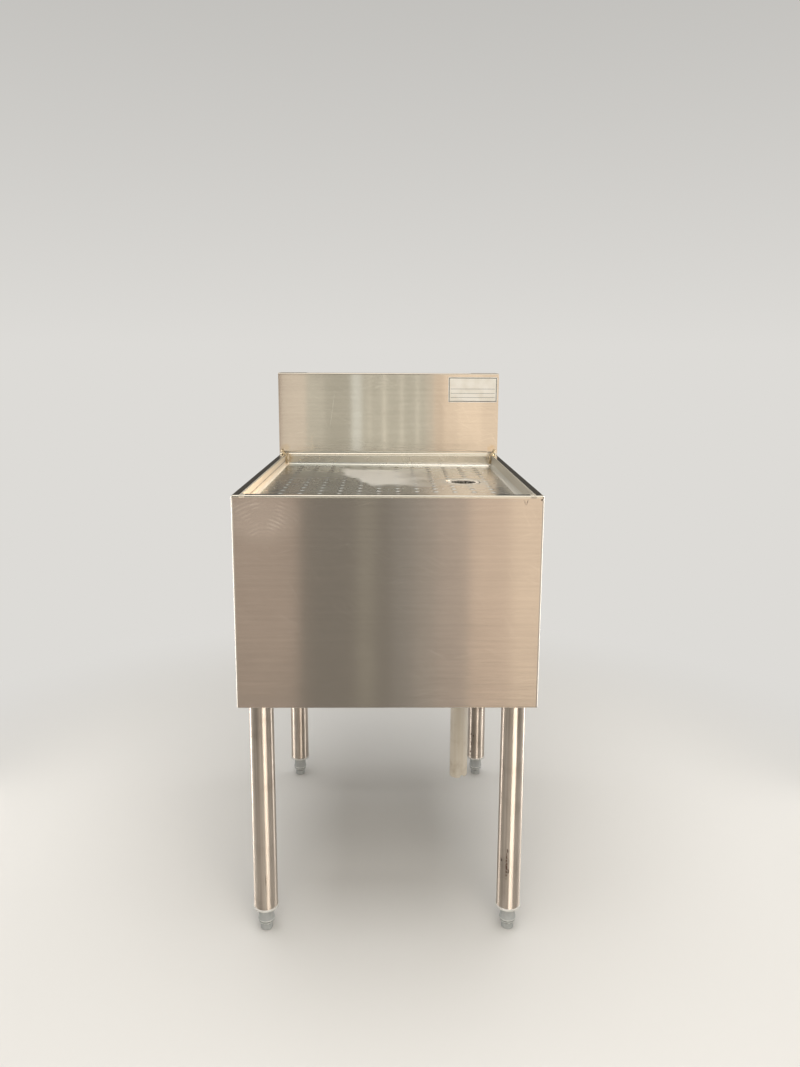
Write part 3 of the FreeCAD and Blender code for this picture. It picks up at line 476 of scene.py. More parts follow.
trayFinish = {
    "pale": "#cdcfcb", "deep": "#c3c5c1",
    "wiped": "#e6e5e0", "wipedSpan": (-160 * mm, 90 * mm),  # across x, cleaner towards the drain
    "line": (60, 1.2, 1.2),
    "roughness": (0.24, 0.3),
    "waves": 90 * mm, "waveHeight": 0.1 * mm,
    # the dried film, and its sides: a point, the way in, and the width of the fade, in mm
    "film": "#efece4", "filmRoughness": 0.4, "filmMetal": 0.8,
    "filmSides": (
        ((-90, 70, 0), (0.9, 0.435, 0), 9),
        ((-97, 100, 0), (1, 0, 0), 12),
        ((0, 172, 0), (0, -1, 0), 22),
        ((85, 0, 0), (-1, 0, 0), 70),
        ((0, -75, 0), (0, 1, 0), 35),
    ),
    "filmFray": 45 * mm, "frayed": 34 * mm,
    "worn": (0.25, 0.85), "levelSpan": (0.7, 0.9),  # how much bare metal and film even out, on level faces
    "waterSpot": "#dcdbd3", "spotSpacing": 16 * mm, "spotSpan": (0.16, 0.1), "spotShow": 0.15,
    # band across x of the side walls, and pale cream painted on the left one below the rim as painted light
    # from the right
    "wall": (212.7 * mm, 4.2 * mm), "wallRoughness": 0.5, "paintedWallLight": "#f2e6d4", "wallMetal": 0.55,
    "wallLevel": 713 * mm,
    "rimLevel": 726.5 * mm, "rimRoughness": 0.14, "rimTone": "#d6d2c8",
    "seat": ((136.2, -4.8, 706), (56, 56, 24)), "seatRoughness": 0.5,
    # a dark line low along the left wall, heat tint in the back corners, a stain round the drain
    "marks": (
        ((-213, 0, 716.5), (9, endless, 1.8), 0, "#7d6c55", 0.9),
        ((-213, 231, 722), (18, 22, 22), 0, "#b89a66", 0.7),
        ((-216, 236, 730), (8, 10, 10), 0, "#7d633d", 0.7),
        ((213, 231, 722), (15, 18, 20), 0, "#b0925f", 0.6),
        ((216, 236, 730), (7, 9, 9), 0, "#755a38", 0.7),
        ((136.2, -4.8, 706), (36, 36, 6), 0, "#b5a88f", 0.45),
    ),
}


def driedFilm(tree, coords, look):
    # 1 inside all the film's sides, with a frayed edge
    ragged = addNode(tree, "ShaderNodeTexNoise",
                     {"Vector": coords, "Scale": 1 / look["filmFray"], "Detail": 3.0})
    shift = addNode(tree, "ShaderNodeMapRange",
                    {"Vector": ragged.outputs["Color"], 9: [-look["frayed"]] * 3, 10: [look["frayed"]] * 3},
                    data_type="FLOAT_VECTOR")
    torn = addNode(tree, "ShaderNodeVectorMath", {0: coords, 1: shift}, operation="ADD")
    dried = None
    for point, inward, fade in look["filmSides"]:
        start = Vector(point).dot(inward) * mm
        depth = addNode(tree, "ShaderNodeVectorMath", {0: torn, 1: inward}, operation="DOT_PRODUCT")
        side = addNode(tree, "ShaderNodeMapRange", {"Value": depth, **between(start, start + fade * mm)})
        dried = addNode(tree, "ShaderNodeMath", {0: dried, 1: side}, operation="MINIMUM") if dried else side
    return dried


def brightTray(look):
    material, tree, shader, coords = newMaterial("bright rolled stainless tray")
    dried = driedFilm(tree, coords, look)
    cells = addNode(tree, "ShaderNodeTexVoronoi", {"Vector": coords, "Scale": 1 / look["spotSpacing"]})
    drops = addNode(tree, "ShaderNodeMapRange",
                    {"Value": cells, **between(*look["spotSpan"], high=look["spotShow"])})
    place = addNode(tree, "ShaderNodeSeparateXYZ", {0: coords}).outputs
    wiped = addNode(tree, "ShaderNodeMapRange", {"Value": place["X"], **between(*look["wipedSpan"])})
    rim = addNode(tree, "ShaderNodeMath", {0: place["Z"], 1: look["rimLevel"]}, operation="GREATER_THAN")
    raised = addNode(tree, "ShaderNodeMath", {0: place["Z"], 1: look["wallLevel"]},
                     operation="GREATER_THAN")
    middle, reach = look["wall"]
    fromMiddle = addNode(tree, "ShaderNodeMath", {0: place["X"]}, operation="ABSOLUTE")
    wall = addNode(tree, "ShaderNodeMath", {0: fromMiddle, 1: middle, 2: reach}, operation="COMPARE")
    left = addNode(tree, "ShaderNodeMath", {0: place["X"], 1: -middle, 2: reach}, operation="COMPARE")
    # painted light: the left wall below the rim is painted pale cream and made less metallic, as if lit
    # from the right
    paintedLitWall = addNode(tree, "ShaderNodeMath", {0: left, 1: rim}, operation="GREATER_THAN")
    seat = softSpot(tree, coords, *(Vector(size) * mm for size in look["seat"]))

    lines = drawnGrain(tree, coords, look["line"])
    tone = layColours(tree, look["deep"], (lines, look["pale"]), (wiped, look["wiped"]),
                      (dried, look["film"]), (drops, look["waterSpot"]), (raised, look["rimTone"]),
                      (paintedLitWall, look["paintedWallLight"]))
    tone = addMarks(tree, coords, tone, look["marks"])

    dish = addNode(tree, "ShaderNodeTexNoise",
                   {"Vector": coords, "Scale": 1 / look["waves"], "Detail": 1.0})
    glossy, dull = look["roughness"]
    rough = addNode(tree, "ShaderNodeMapRange", {"Value": dish, "To Min": dull, "To Max": glossy})
    hazy = addNode(tree, "ShaderNodeMath", {0: dried, 1: drops}, operation="MAXIMUM")
    for mask, key in ((hazy, "filmRoughness"), (rim, "rimRoughness"), (wall, "wallRoughness"),
                      (seat, "seatRoughness")):
        rough = addNode(tree, "ShaderNodeMix", {0: mask, 2: rough, 3: look[key]})
    metal = addNode(tree, "ShaderNodeMapRange",
                    {"Value": dried, "To Min": 1.0, "To Max": look["filmMetal"]})
    metal = addNode(tree, "ShaderNodeMix", {0: paintedLitWall, 2: metal, 3: look["wallMetal"]})

    # the pressed dimples are shallow, and the film evens out those that it covers
    sag = addNode(tree, "ShaderNodeBump", {"Height": dish, "Strength": 1.0, "Distance": look["waveHeight"]})
    normal = addNode(tree, "ShaderNodeNewGeometry").outputs["Normal"]
    facing = addNode(tree, "ShaderNodeSeparateXYZ", {0: normal}).outputs["Z"]
    upward = addNode(tree, "ShaderNodeMapRange", {"Value": facing, **between(*look["levelSpan"])})
    bare, filled = look["worn"]
    worn = addNode(tree, "ShaderNodeMapRange", {"Value": dried, "To Min": bare, "To Max": filled})
    covered = addNode(tree, "ShaderNodeMath", {0: worn, 1: upward}, operation="MULTIPLY")
    evened = addNode(tree, "ShaderNodeMix", {0: covered, 4: sag, 5: (0, 0, 1)}, data_type="VECTOR")
    evened = addNode(tree, "ShaderNodeVectorMath", {0: evened}, operation="NORMALIZE")
    setInputs(tree, shader, {"Base Color": tone, "Roughness": rough, "Normal": evened, "Metallic": metal})
    return material


dress(brightTray(trayFinish), "drainboard_top")
print("tray dressed")


# polished stainless tube: bright lengthwise streaks, smoky patches, and rust flecks near the feet

legFinish = {
    "pale": "#cfc5ba", "deep": "#b8aca0", "toneSpan": (0.75, 1.25),
    "streak": (2.2, 2.2, 160), "streakRelief": 0.08, "streakDepth": 0.1 * mm,
    "band": (7, 7, 500),
    "smoke": "#9b8e81", "smokeSize": 60 * mm, "smokeSpan": (0.5, 0.8), "smokeShow": 0.6,
    "roughness": (0.34, 0.42), "dullSpan": (0.35, 0.7), "drawnOut": 0.98,
    "flecks": (
        ((192.0, -278.2, 121), (2.0, 8, 34), 0, "#5a3a2b", 1.0),
        ((195.0, -278.6, 111), (2.2, 8, 6), 0, "#3f2a20", 1.0),
        ((193.0, -278.4, 146), (1.8, 8, 5), 0, "#4a3226", 1.0),
        ((184.3, -272.5, 128), (1.8, 9, 4), 0, "#33281f", 1.0),
        ((186.0, 246.0, 99.6), (2.4, 9, 4), 0, "#3f2f25", 1.0),
        ((191.0, 243.0, 97), (2.0, 9, 3), 0, "#4d392c", 0.9),
        ((185.5, 247.0, 58), (2.0, 9, 4), 0, "#3a2c23", 1.0),
        ((187.0, 245.0, 78), (1.5, 9, 8), 0, "#5d4433", 0.8),
        ((-195.0, -278.8, 96), (2.6, 8, 12), 0, "#7a6550", 0.5),
    ),
}


def polishedTube(look):
    material, tree, shader, coords = newMaterial("polished stainless leg tube")
    streaks = drawnGrain(tree, coords, look["streak"])
    bands = drawnGrain(tree, coords, look["band"], 1.0)
    smoke = addNode(tree, "ShaderNodeTexNoise", {"Vector": coords, "Scale": 1 / look["smokeSize"],
                    "Detail": 6.0, "Distortion": 0.5})
    both = addNode(tree, "ShaderNodeMath", {0: streaks, 1: bands}, operation="ADD")
    share = addNode(tree, "ShaderNodeMapRange", {"Value": both, **between(*look["toneSpan"])})
    dim = addNode(tree, "ShaderNodeMapRange",
                  {"Value": smoke, **between(*look["smokeSpan"], high=look["smokeShow"])})
    tone = layColours(tree, look["deep"], (share, look["pale"]), (dim, look["smoke"]))
    tone = addMarks(tree, coords, tone, look["flecks"])
    rough = addNode(tree, "ShaderNodeMapRange",
                    {"Value": smoke, **between(*look["dullSpan"], *look["roughness"])})
    scored = addNode(tree, "ShaderNodeBump", {"Height": both, "Strength": look["streakRelief"],
                     "Distance": look["streakDepth"]})
    along = addNode(tree, "ShaderNodeCombineXYZ", {2: 1.0})
    setInputs(tree, shader, {"Base Color": tone, "Roughness": rough, "Normal": scored, "Tangent": along,
                             "Metallic": 1.0, "Anisotropic": look["drawnOut"]})
    return material


dress(polishedTube(legFinish), *atCorners("leg_tube"))
print("legs dressed")


# plain metals: mill-finish channels, cast zinc gussets, zinc-plated fasteners, the chromed drain under
# limescale, its brass locknut, and weld beads

plainMetals = {
    "channel": {"name": "mill-finish steel channel", "colours": ("#9c9892", "#aeaaa4"),
                "grain": (3, 120, 3), "blotch": 40 * mm, "roughness": (0.38, 0.55), "relief": 0.1},
    "gusset": {"name": "sand-cast zinc gusset", "colours": ("#8b8a87", "#a5a4a0"),
               "grain": (1.4, 1.4, 1.4), "blotch": 18 * mm, "roughness": (0.45, 0.62), "relief": 0.5},
    "zinc": {"name": "zinc-plated fastener steel", "colours": ("#a9abac", "#c3c3bf"),
             "grain": (0.8, 0.8, 0.8), "blotch": 9 * mm, "roughness": (0.26, 0.42), "relief": 0.12},
    "chrome": {"name": "limescaled chromed drain", "colours": ("#e9e2d5", "#f6f0e6"), "metal": 0.6,
               "grain": (1.2, 1.2, 1.2), "blotch": 14 * mm, "roughness": (0.25, 0.45), "relief": 0.05,
               # the throat is painted dark, as painted shade down the drain
               "marks": [ringMark(level, reach, "#2e2922", 1.0)
                         for level, reach in ((702.2, 3), (696, 7), (686, 12))]},
    "brass": {"name": "turned locknut brass", "colours": ("#a5864a", "#c0a163"),
              "grain": (2.5, 2.5, 0.4), "blotch": 12 * mm, "roughness": (0.25, 0.42), "relief": 0.15},
    "weld": {"name": "wire-brushed weld bead", "colours": ("#a8926a", "#d2c7b2"),
             "grain": (1.0, 1.0, 1.0), "blotch": 5 * mm, "roughness": (0.2, 0.38), "relief": 0.3},
}


def plainMetal(look):
    # grain breaks the shine up finely, blotches dull it in patches as handling and damp do
    toneSpan, dullSpan, pitDepth = (0.7, 1.3), (0.3, 0.7), 0.2 * mm
    material, tree, shader, coords = newMaterial(look["name"])
    grain = drawnGrain(tree, coords, look["grain"])
    blotch = addNode(tree, "ShaderNodeTexNoise", {"Vector": coords, "Scale": 1 / look["blotch"],
                     "Detail": 5.0, "Distortion": 0.4})
    both = addNode(tree, "ShaderNodeMath", {0: grain, 1: blotch}, operation="ADD")
    share = addNode(tree, "ShaderNodeMapRange", {"Value": both, **between(*toneSpan)})
    dark, pale = look["colours"]
    tone = layColours(tree, dark, (share, pale))
    tone = addMarks(tree, coords, tone, look.get("marks", ()))
    glossy, dull = look["roughness"]
    rough = addNode(tree, "ShaderNodeMapRange", {"Value": blotch, **between(*dullSpan, dull, glossy)})
    pitted = addNode(tree, "ShaderNodeBump", {"Height": grain, "Strength": look["relief"],
                     "Distance": pitDepth})
    setInputs(tree, shader, {"Base Color": tone, "Roughness": rough, "Normal": pitted,
                             "Metallic": look.get("metal", 1.0)})
    return material


metals = {key: plainMetal(look) for key, look in plainMetals.items()}
dress(metals["channel"], "leg_channel_left", "leg_channel_right")
dress(metals["gusset"], *atCorners("leg_gusset"))
dress(metals["zinc"], "gusset_nuts", "gusset_washers", "leg_set_screws", "drain_washer")
dress(metals["chrome"], "drain_body")
dress(metals["brass"], "drain_locknut")
print("plain metals dressed")


# plastics and rubber: moulded grey nylon, black rubber, aged off-white PVC

plasticLooks = {
    "nylon": {"name": "moulded grey nylon", "colours": ("#abafaf", "#babdbc"), "stain": "#94989a",
              "streak": (5, 5, 12), "stainSize": 11 * mm, "stainShare": 0.3, "roughness": (0.45, 0.6),
              "skin": 0.7 * mm, "relief": 0.08,
              # the two beads are painted pale as painted highlights, and the groove, the undercut and the
              # top under the collar painted dark as painted shade
              "marks": (
                  ringMark(17.9, 1.7, "#e4e5e1", 1.0),
                  ringMark(15.2, 1.3, "#6f716e", 0.8),
                  ringMark(12.9, 1.4, "#dcddd9", 1.0),
                  ringMark(10.4, 1.4, "#5c5e5b", 0.9),
                  ringMark(39.4, 5.5, "#6f716e", 0.8),
              )},
    "collar": {"name": "moulded pale grey nylon", "colours": ("#d2d1cc", "#dedcd7"), "stain": "#b8b7b2",
               "streak": (5, 5, 12), "stainSize": 11 * mm, "stainShare": 0.3, "roughness": (0.42, 0.55),
               "skin": 0.7 * mm, "relief": 0.08},
    "rubber": {"name": "black rubber", "colours": ("#161616", "#262625"), "stain": "#35332f",
               "streak": (4, 4, 4), "stainSize": 10 * mm, "stainShare": 0.4, "roughness": (0.55, 0.75),
               "skin": 0.5 * mm, "relief": 0.2},
    "pvc": {"name": "aged off-white PVC", "colours": ("#e7dcc9", "#efe7d9"), "stain": "#a89370",
            "streak": (5, 5, 160), "stainSize": 55 * mm, "stainShare": 0.5, "roughness": (0.34, 0.5),
            "skin": 1.2 * mm, "relief": 0.06},
}


def mouldedPlastic(look):
    # a faint flow of tone along the mould, grubby patches, and a fine skin that softens the shine
    flowSpan, dirtSpan, dullSpan, skinDepth = (0.3, 0.7), (0.52, 0.75), (0.3, 0.7), 0.2 * mm
    material, tree, shader, coords = newMaterial(look["name"])
    flow = drawnGrain(tree, coords, look["streak"], 4.0)
    grub = addNode(tree, "ShaderNodeTexNoise", {"Vector": coords, "Scale": 1 / look["stainSize"],
                   "Detail": 7.0, "Roughness": 0.62})
    skin = addNode(tree, "ShaderNodeTexNoise", {"Vector": coords, "Scale": 1 / look["skin"], "Detail": 2.0})
    share = addNode(tree, "ShaderNodeMapRange", {"Value": flow, **between(*flowSpan)})
    dirt = addNode(tree, "ShaderNodeMapRange",
                   {"Value": grub, **between(*dirtSpan, high=look["stainShare"])})
    dark, pale = look["colours"]
    tone = layColours(tree, dark, (share, pale), (dirt, look["stain"]))
    tone = addMarks(tree, coords, tone, look.get("marks", ()))
    rough = addNode(tree, "ShaderNodeMapRange", {"Value": grub, **between(*dullSpan, *look["roughness"])})
    grained = addNode(tree, "ShaderNodeBump", {"Height": skin, "Strength": look["relief"],
                      "Distance": skinDepth})
    setInputs(tree, shader, {"Base Color": tone, "Roughness": rough, "Normal": grained, "IOR": 1.5})
    return material


plastics = {key: mouldedPlastic(look) for key, look in plasticLooks.items()}
dress(plastics["nylon"], *atCorners("levelling_foot"))
dress(plastics["collar"], *atCorners("foot_socket"))
dress(plastics["rubber"], "drain_gasket")
dress(plastics["pvc"], "pipe_adapter")
print("plastics dressed")


# Geometry Nodes: a tree is run once on a carrier, and its result kept as a plain mesh

def newTree(name, sockets):
    tree = bpy.data.node_groups.new(name, "GeometryNodeTree")
    for socketName, kind in sockets:
        tree.interface.new_socket(socketName, in_out="INPUT", socket_type=kind)
    tree.interface.new_socket("Result", in_out="OUTPUT", socket_type="NodeSocketGeometry")
    return tree, addNode(tree, "NodeGroupInput").outputs


def growMesh(name, tree, sizes, path=None, voxel=None):
    carrier = addPiece(name, path or bpy.data.meshes.new(name))
    modifier = carrier.modifiers.new("tree", "NODES")
    modifier.node_group = tree
    for item in tree.interface.items_tree:
        if item.in_out == "INPUT" and item.name in sizes:
            modifier[item.identifier] = sizes[item.name]
    if voxel:
        skin = carrier.modifiers.new("skin", "REMESH")
        skin.mode = "VOXEL"
        skin.voxel_size = voxel
        skin.use_smooth_shade = True
    mesh = bpy.data.meshes.new_from_object(carrier.evaluated_get(bpy.context.evaluated_depsgraph_get()))
    bpy.data.objects.remove(carrier)
    mesh.name = name
    return mesh


def pathMesh(name, paths):
    points, edges = [], []
    for path in paths:
        edges += [(len(points) + i, len(points) + i + 1) for i in range(len(path) - 1)]
        points += [Vector(point) * mm for point in path]
    mesh = bpy.data.meshes.new(name)
    mesh.from_pydata(points, edges, [])
    return mesh


# rolled thread of the foot studs: one spiral ridge on a core

studThread = {
    "pitch": 1.75 * mm,
    "depth": 1.05 * mm,
    "ridgeShare": 0.45,  # half the ridge's width, as a share of the pitch
    "runOut": 2.0 * mm,  # plain length at each end
    "coreSides": 32, "turnSteps": 28,
}


def threadTree(look):
    tree, given = newTree("rolled thread", (
        ("Radius", "NodeSocketFloat"), ("Depth", "NodeSocketFloat"), ("Pitch", "NodeSocketFloat"),
        ("Length", "NodeSocketFloat"), ("Run Out", "NodeSocketFloat"), ("Place", "NodeSocketVector"),
        ("Finish", "NodeSocketMaterial")))
    root = addNode(tree, "ShaderNodeMath", {0: given["Radius"], 1: given["Depth"]}, operation="SUBTRACT")
    core = addNode(tree, "GeometryNodeMeshCylinder",
                   {"Vertices": look["coreSides"], "Radius": root, "Depth": given["Length"]})
    ridge = addNode(tree, "ShaderNodeMath", {0: given["Run Out"], 1: -2.0, 2: given["Length"]},
                    operation="MULTIPLY_ADD")
    turns = addNode(tree, "ShaderNodeMath", {0: ridge, 1: given["Pitch"]}, operation="DIVIDE")
    spiral = addNode(tree, "GeometryNodeCurveSpiral", {"Resolution": look["turnSteps"], "Rotations": turns,
                     "Start Radius": root, "End Radius": root, "Height": ridge})
    upright = addNode(tree, "GeometryNodeSetCurveNormal", {"Curve": spiral}, mode="Z_UP")
    half = addNode(tree, "ShaderNodeMath", {0: given["Pitch"], 1: look["ridgeShare"]}, operation="MULTIPLY")
    size = addNode(tree, "ShaderNodeCombineXYZ", {0: given["Depth"], 1: half, 2: 1.0})
    diamond = addNode(tree, "GeometryNodeCurvePrimitiveCircle", {"Resolution": 4, "Radius": 1.0})
    profile = addNode(tree, "GeometryNodeTransform", {"Geometry": diamond.outputs["Curve"], "Scale": size})
    wound = addNode(tree, "GeometryNodeCurveToMesh",
                    {"Curve": upright, "Profile Curve": profile, "Fill Caps": True})
    drop = addNode(tree, "ShaderNodeMath", {0: ridge, 1: -0.5}, operation="MULTIPLY")
    down = addNode(tree, "ShaderNodeCombineXYZ", {2: drop})
    centred = addNode(tree, "GeometryNodeTransform", {"Geometry": wound, "Translation": down})
    joined = addNode(tree, "GeometryNodeJoinGeometry", {0: core.outputs["Mesh"]})
    setInputs(tree, joined, {0: centred})
    placed = addNode(tree, "GeometryNodeTransform", {"Geometry": joined, "Translation": given["Place"]})
    solid = addNode(tree, "GeometryNodeRealizeInstances", {0: placed})
    finish = addNode(tree, "GeometryNodeSetMaterial", {"Geometry": solid, "Material": given["Finish"]})
    addNode(tree, "NodeGroupOutput", {0: finish})
    return tree


def cutThreads(look):
    tree = threadTree(look)
    for corner in corners:
        low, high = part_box(f"foot_stud_{corner}")
        sizes = {"Radius": (high.x - low.x) / 2, "Depth": look["depth"], "Pitch": look["pitch"],
                 "Length": high.z - low.z, "Run Out": look["runOut"], "Place": (low + high) / 2,
                 "Finish": metals["zinc"]}
        stud = addPiece(f"threaded_stud_{corner}", growMesh("stud", tree, sizes), metals["zinc"])
        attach(stud, f"stud_{corner}")
        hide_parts(f"foot_stud_{corner}")


cutThreads(studThread)
print("threads cut")


# weld beads: overlapping lumps along a path, melted into one skin

cornerWeld = {
    "lump": 3.2 * mm,
    "step": 2.1 * mm,
    "voxel": 0.45 * mm,
    "seed": 3,
    # the left back corner, from the splash down the well's corner to the deck, in mm
    "path": ((-222.5, 240.4, 738), (-220.5, 238.5, 731.5), (-217, 234.5, 729), (-213.6, 230.2, 725.5),
             (-212.5, 229.2, 718), (-212.5, 229.2, 712)),
}
stitchWeld = {
    "lump": 1.7 * mm,
    "step": 1.5 * mm,
    "voxel": 0.4 * mm,
    "seed": 8,
    # short beads between the deck and the inner wall of each leg channel, in mm
    "length": 26.0, "middles": (-236, -118, 118, 236), "offWall": 1.2, "below": 1.4,
}
weldLump = {"rounds": 3, "least": (0.7, 0.8, 0.55), "most": (1.1, 1.1, 0.8)}  # how flat the lumps may be


def weldTree(lumps):
    tree, given = newTree("weld bead", (
        ("Path", "NodeSocketGeometry"), ("Lump", "NodeSocketFloat"), ("Step", "NodeSocketFloat"),
        ("Seed", "NodeSocketInt"), ("Finish", "NodeSocketMaterial")))
    curve = addNode(tree, "GeometryNodeMeshToCurve", {"Mesh": given["Path"]})
    stops = addNode(tree, "GeometryNodeCurveToPoints", {"Curve": curve, "Length": given["Step"]},
                    mode="LENGTH")
    lump = addNode(tree, "GeometryNodeMeshIcoSphere",
                   {"Radius": given["Lump"], "Subdivisions": lumps["rounds"]})
    squash = addNode(tree, "FunctionNodeRandomValue",
                     {0: lumps["least"], 1: lumps["most"], "Seed": given["Seed"]}, data_type="FLOAT_VECTOR")
    beads = addNode(tree, "GeometryNodeInstanceOnPoints",
                    {"Points": stops.outputs["Points"], "Instance": lump.outputs["Mesh"],
                     "Rotation": stops.outputs["Rotation"], "Scale": squash})
    solid = addNode(tree, "GeometryNodeRealizeInstances", {0: beads})
    finish = addNode(tree, "GeometryNodeSetMaterial", {"Geometry": solid, "Material": given["Finish"]})
    addNode(tree, "NodeGroupOutput", {0: finish})
    return tree


def layWeld(tree, name, look, paths, side):
    sizes = {"Lump": look["lump"], "Step": look["step"], "Seed": look["seed"] + side,
             "Finish": metals["weld"]}
    mesh = growMesh(name, tree, sizes, pathMesh(name, paths), look["voxel"])
    weld = addPiece(name, mesh, metals["weld"])
    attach(weld, "frame")


def layWelds():
    tree = weldTree(weldLump)
    for side, name in ((1, "left"), (-1, "right")):
        corner = [(x * side, y, z) for x, y, z in cornerWeld["path"]]
        layWeld(tree, f"corner_weld_{name}", cornerWeld, [corner], side)
        low, high = (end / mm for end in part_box(f"leg_channel_{name}"))
        x = (high.x if side > 0 else low.x) + stitchWeld["offWall"] * side
        z = high.z - stitchWeld["below"]
        half = stitchWeld["length"] / 2
        stitches = [[(x, y - half, z), (x, y + half, z)] for y in stitchWeld["middles"]]
        layWeld(tree, f"stitch_weld_{name}", stitchWeld, stitches, side)


layWelds()
print("welds laid")


# sawn end of the drain pipe: cut a little aslant, with a chip out of the rim

sawnPipe = {
    "sides": 96,
    "slant": 3.0 * mm, "slantTowards": math.radians(200),
    "chip": 4.5 * mm, "chipAt": math.radians(-70), "chipWidth": math.radians(16),
    "ragged": 0.5 * mm, "raggedWaves": 4, "raggedSeed": 0.7,
    "bore": 13.3 * mm,
    "burr": 0.5 * mm,
    "sharpFrom": math.radians(40),
}


def sawCut(look, angle):
    # how far up the saw went at this angle round the pipe
    slant = look["slant"] * (1 - math.cos(angle - look["slantTowards"])) / 2
    around = Vector((math.cos(angle), math.sin(angle), 0)) * look["raggedWaves"]
    around.z = look["raggedSeed"]
    ragged = look["ragged"] * (1 + noise.noise(around)) / 2
    offset = abs((angle - look["chipAt"] + math.pi) % math.tau - math.pi) / look["chipWidth"]
    return slant + ragged + look["chip"] * max(0, 1 - offset ** 2)


def pipeMesh(look):
    low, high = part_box("drain_pipe")
    middle = (low + high) / 2
    outer = (high.x - low.x) / 2
    bore, burr, count = look["bore"], look["burr"], look["sides"]
    built = bmesh.new()
    rings = []
    # radius, whether it is at the top, and how far its edge is eased
    for radius, top, eased in ((outer, True, 0), (outer, False, burr), (outer - burr, False, 0),
                               (bore + burr, False, 0), (bore, False, burr), (bore, True, 0)):
        ring = []
        for i in range(count):
            angle = math.tau * i / count
            place = middle + Vector((math.cos(angle), math.sin(angle), 0)) * radius
            place.z = high.z if top else low.z + sawCut(look, angle) + eased
            ring.append(built.verts.new(place))
        rings.append(ring)
    for inside, outside in zip(rings, rings[1:] + rings[:1]):
        for i in range(count):
            j = (i + 1) % count
            built.faces.new((inside[i], outside[i], outside[j], inside[j]))
    bmesh.ops.recalc_face_normals(built, faces=built.faces)
    for face in built.faces:
        face.smooth = True
    mesh = bpy.data.meshes.new("sawn_drain_pipe")
    built.to_mesh(mesh)
    built.free()
    mesh.set_sharp_from_angle(angle=look["sharpFrom"])
    return mesh


pipe = addPiece("sawn_drain_pipe", pipeMesh(sawnPipe), plastics["pvc"])
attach(pipe, "frame")
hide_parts("drain_pipe")
print("pipe sawn")


# blank label by the upper right corner of the splash: printed film, with a frame line and empty rules

labelLook = {
    "size": (102 * mm, 52 * mm),
    "fromTop": 7.5 * mm,
    "fromRight": 1.6 * mm,
    "thick": 0.3 * mm,
    "cornerRadius": 2.5 * mm, "cornerSteps": 6,
    "paper": "#efebe2", "aged": "#e4ded1", "ageSpan": (0.4, 0.7), "agePatch": 22 * mm,
    "frameInset": 1.3 * mm, "frameWidth": 1.5 * mm,
    "rules": (1.5 * mm, -7.5 * mm, -16.0 * mm), "ruleWidth": 0.6 * mm, "ruleMargin": 5 * mm,
    "ink": "#34322f", "inkGrain": 1.5 * mm, "inkSpan": (0.3, 0.6), "inkShow": (0.8, 0.97),
    "roughness": (0.35, 0.55), "crease": 0.2, "creaseDepth": 0.2 * mm,
}


def labelCentre(look):
    low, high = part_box("backsplash_shell")
    width, height = look["size"]
    return Vector((high.x - look["fromRight"] - width / 2, low.y, high.z - look["fromTop"] - height / 2))


def labelMesh(look):
    centre = labelCentre(look)
    radius, steps = look["cornerRadius"], look["cornerSteps"]
    halfWide, halfHigh = (size / 2 - radius for size in look["size"])
    outline = []
    for quarter, (sideX, sideZ) in enumerate(((1, 1), (-1, 1), (-1, -1), (1, -1))):
        for step in range(steps + 1):
            angle = (quarter + step / steps) * math.pi / 2
            x = sideX * halfWide + radius * math.cos(angle)
            z = sideZ * halfHigh + radius * math.sin(angle)
            outline.append(centre + Vector((x, 0, z)))
    built = bmesh.new()
    face = built.faces.new([built.verts.new(point) for point in outline])
    raised = bmesh.ops.extrude_face_region(built, geom=[face])
    lifted = [item for item in raised["geom"] if isinstance(item, bmesh.types.BMVert)]
    bmesh.ops.translate(built, verts=lifted, vec=(0, -look["thick"], 0))
    bmesh.ops.recalc_face_normals(built, faces=built.faces)
    mesh = bpy.data.meshes.new("blank_label")
    built.to_mesh(mesh)
    built.free()
    return mesh


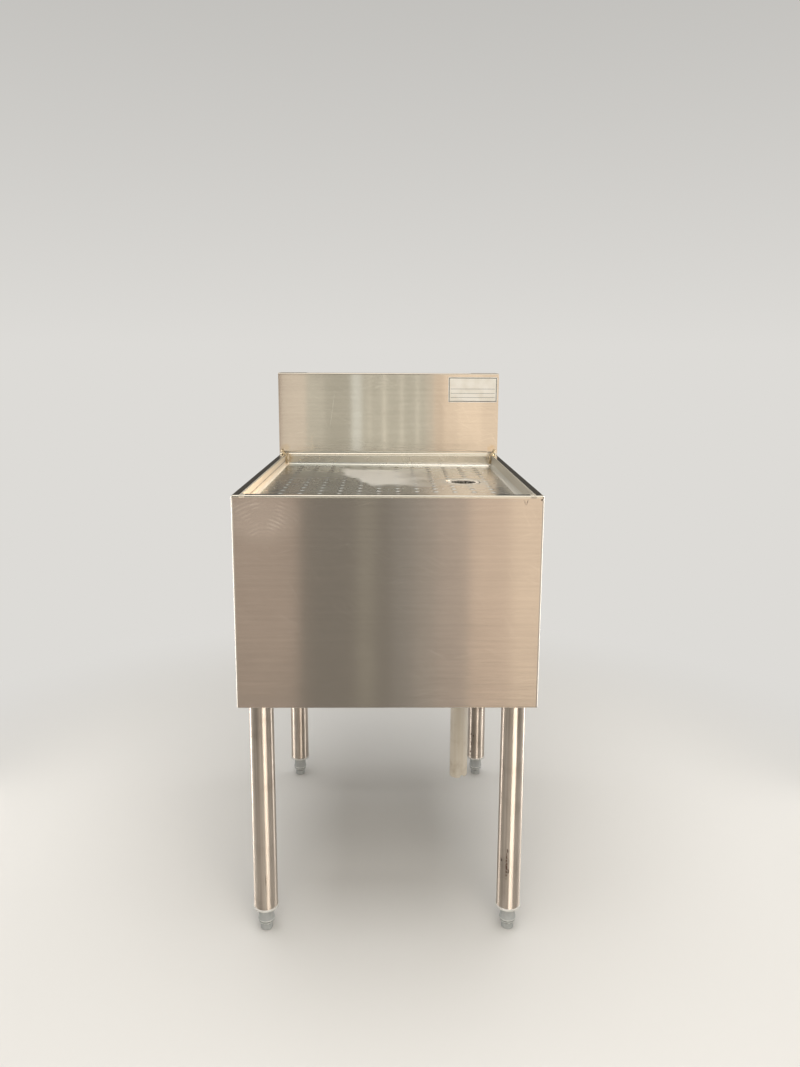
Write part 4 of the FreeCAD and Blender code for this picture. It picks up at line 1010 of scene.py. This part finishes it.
def printedFilm(look):
    # satin film, yellowed in patches, with dull dark ink in a frame and three rules
    material, tree, shader, coords = newMaterial("printed label film")
    space = addNode(tree, "ShaderNodeMapping", {"Vector": coords, "Location": labelCentre(look)},
                    vector_type="TEXTURE")
    place = addNode(tree, "ShaderNodeSeparateXYZ", {0: space}).outputs
    fromEdge = []
    for axis, length in zip("XZ", look["size"]):
        fromMiddle = addNode(tree, "ShaderNodeMath", {0: place[axis]}, operation="ABSOLUTE")
        fromEdge.append(addNode(tree, "ShaderNodeMath", {0: length / 2, 1: fromMiddle},
                                operation="SUBTRACT"))
    edge = addNode(tree, "ShaderNodeMath", dict(enumerate(fromEdge)), operation="MINIMUM")
    halfLine = look["frameWidth"] / 2
    ink = addNode(tree, "ShaderNodeMath", {0: edge, 1: look["frameInset"] + halfLine, 2: halfLine},
                  operation="COMPARE")
    inside = addNode(tree, "ShaderNodeMath", {0: fromEdge[0], 1: look["ruleMargin"]},
                     operation="GREATER_THAN")
    for level in look["rules"]:
        rule = addNode(tree, "ShaderNodeMath", {0: place["Z"], 1: level, 2: look["ruleWidth"] / 2},
                       operation="COMPARE")
        rule = addNode(tree, "ShaderNodeMath", {0: rule, 1: inside}, operation="MULTIPLY")
        ink = addNode(tree, "ShaderNodeMath", {0: ink, 1: rule}, operation="MAXIMUM")
    worn = addNode(tree, "ShaderNodeTexNoise",
                   {"Vector": coords, "Scale": 1 / look["inkGrain"], "Detail": 2.0})
    press = addNode(tree, "ShaderNodeMapRange",
                    {"Value": worn, **between(*look["inkSpan"], *look["inkShow"])})
    ink = addNode(tree, "ShaderNodeMath", {0: ink, 1: press}, operation="MULTIPLY")
    stain = addNode(tree, "ShaderNodeTexNoise",
                    {"Vector": coords, "Scale": 1 / look["agePatch"], "Detail": 5.0})
    age = addNode(tree, "ShaderNodeMapRange", {"Value": stain, **between(*look["ageSpan"])})
    tone = layColours(tree, look["paper"], (age, look["aged"]), (ink, look["ink"]))
    rough = addNode(tree, "ShaderNodeMapRange", {"Value": stain, **between(0.0, 1.0, *look["roughness"])})
    creased = addNode(tree, "ShaderNodeBump", {"Height": stain, "Strength": look["crease"],
                      "Distance": look["creaseDepth"]})
    setInputs(tree, shader, {"Base Color": tone, "Roughness": rough, "Normal": creased, "IOR": 1.5})
    return material


label = addPiece("blank_label", labelMesh(labelLook), printedFilm(labelLook))
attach(label, "frame")
print("label stuck on")
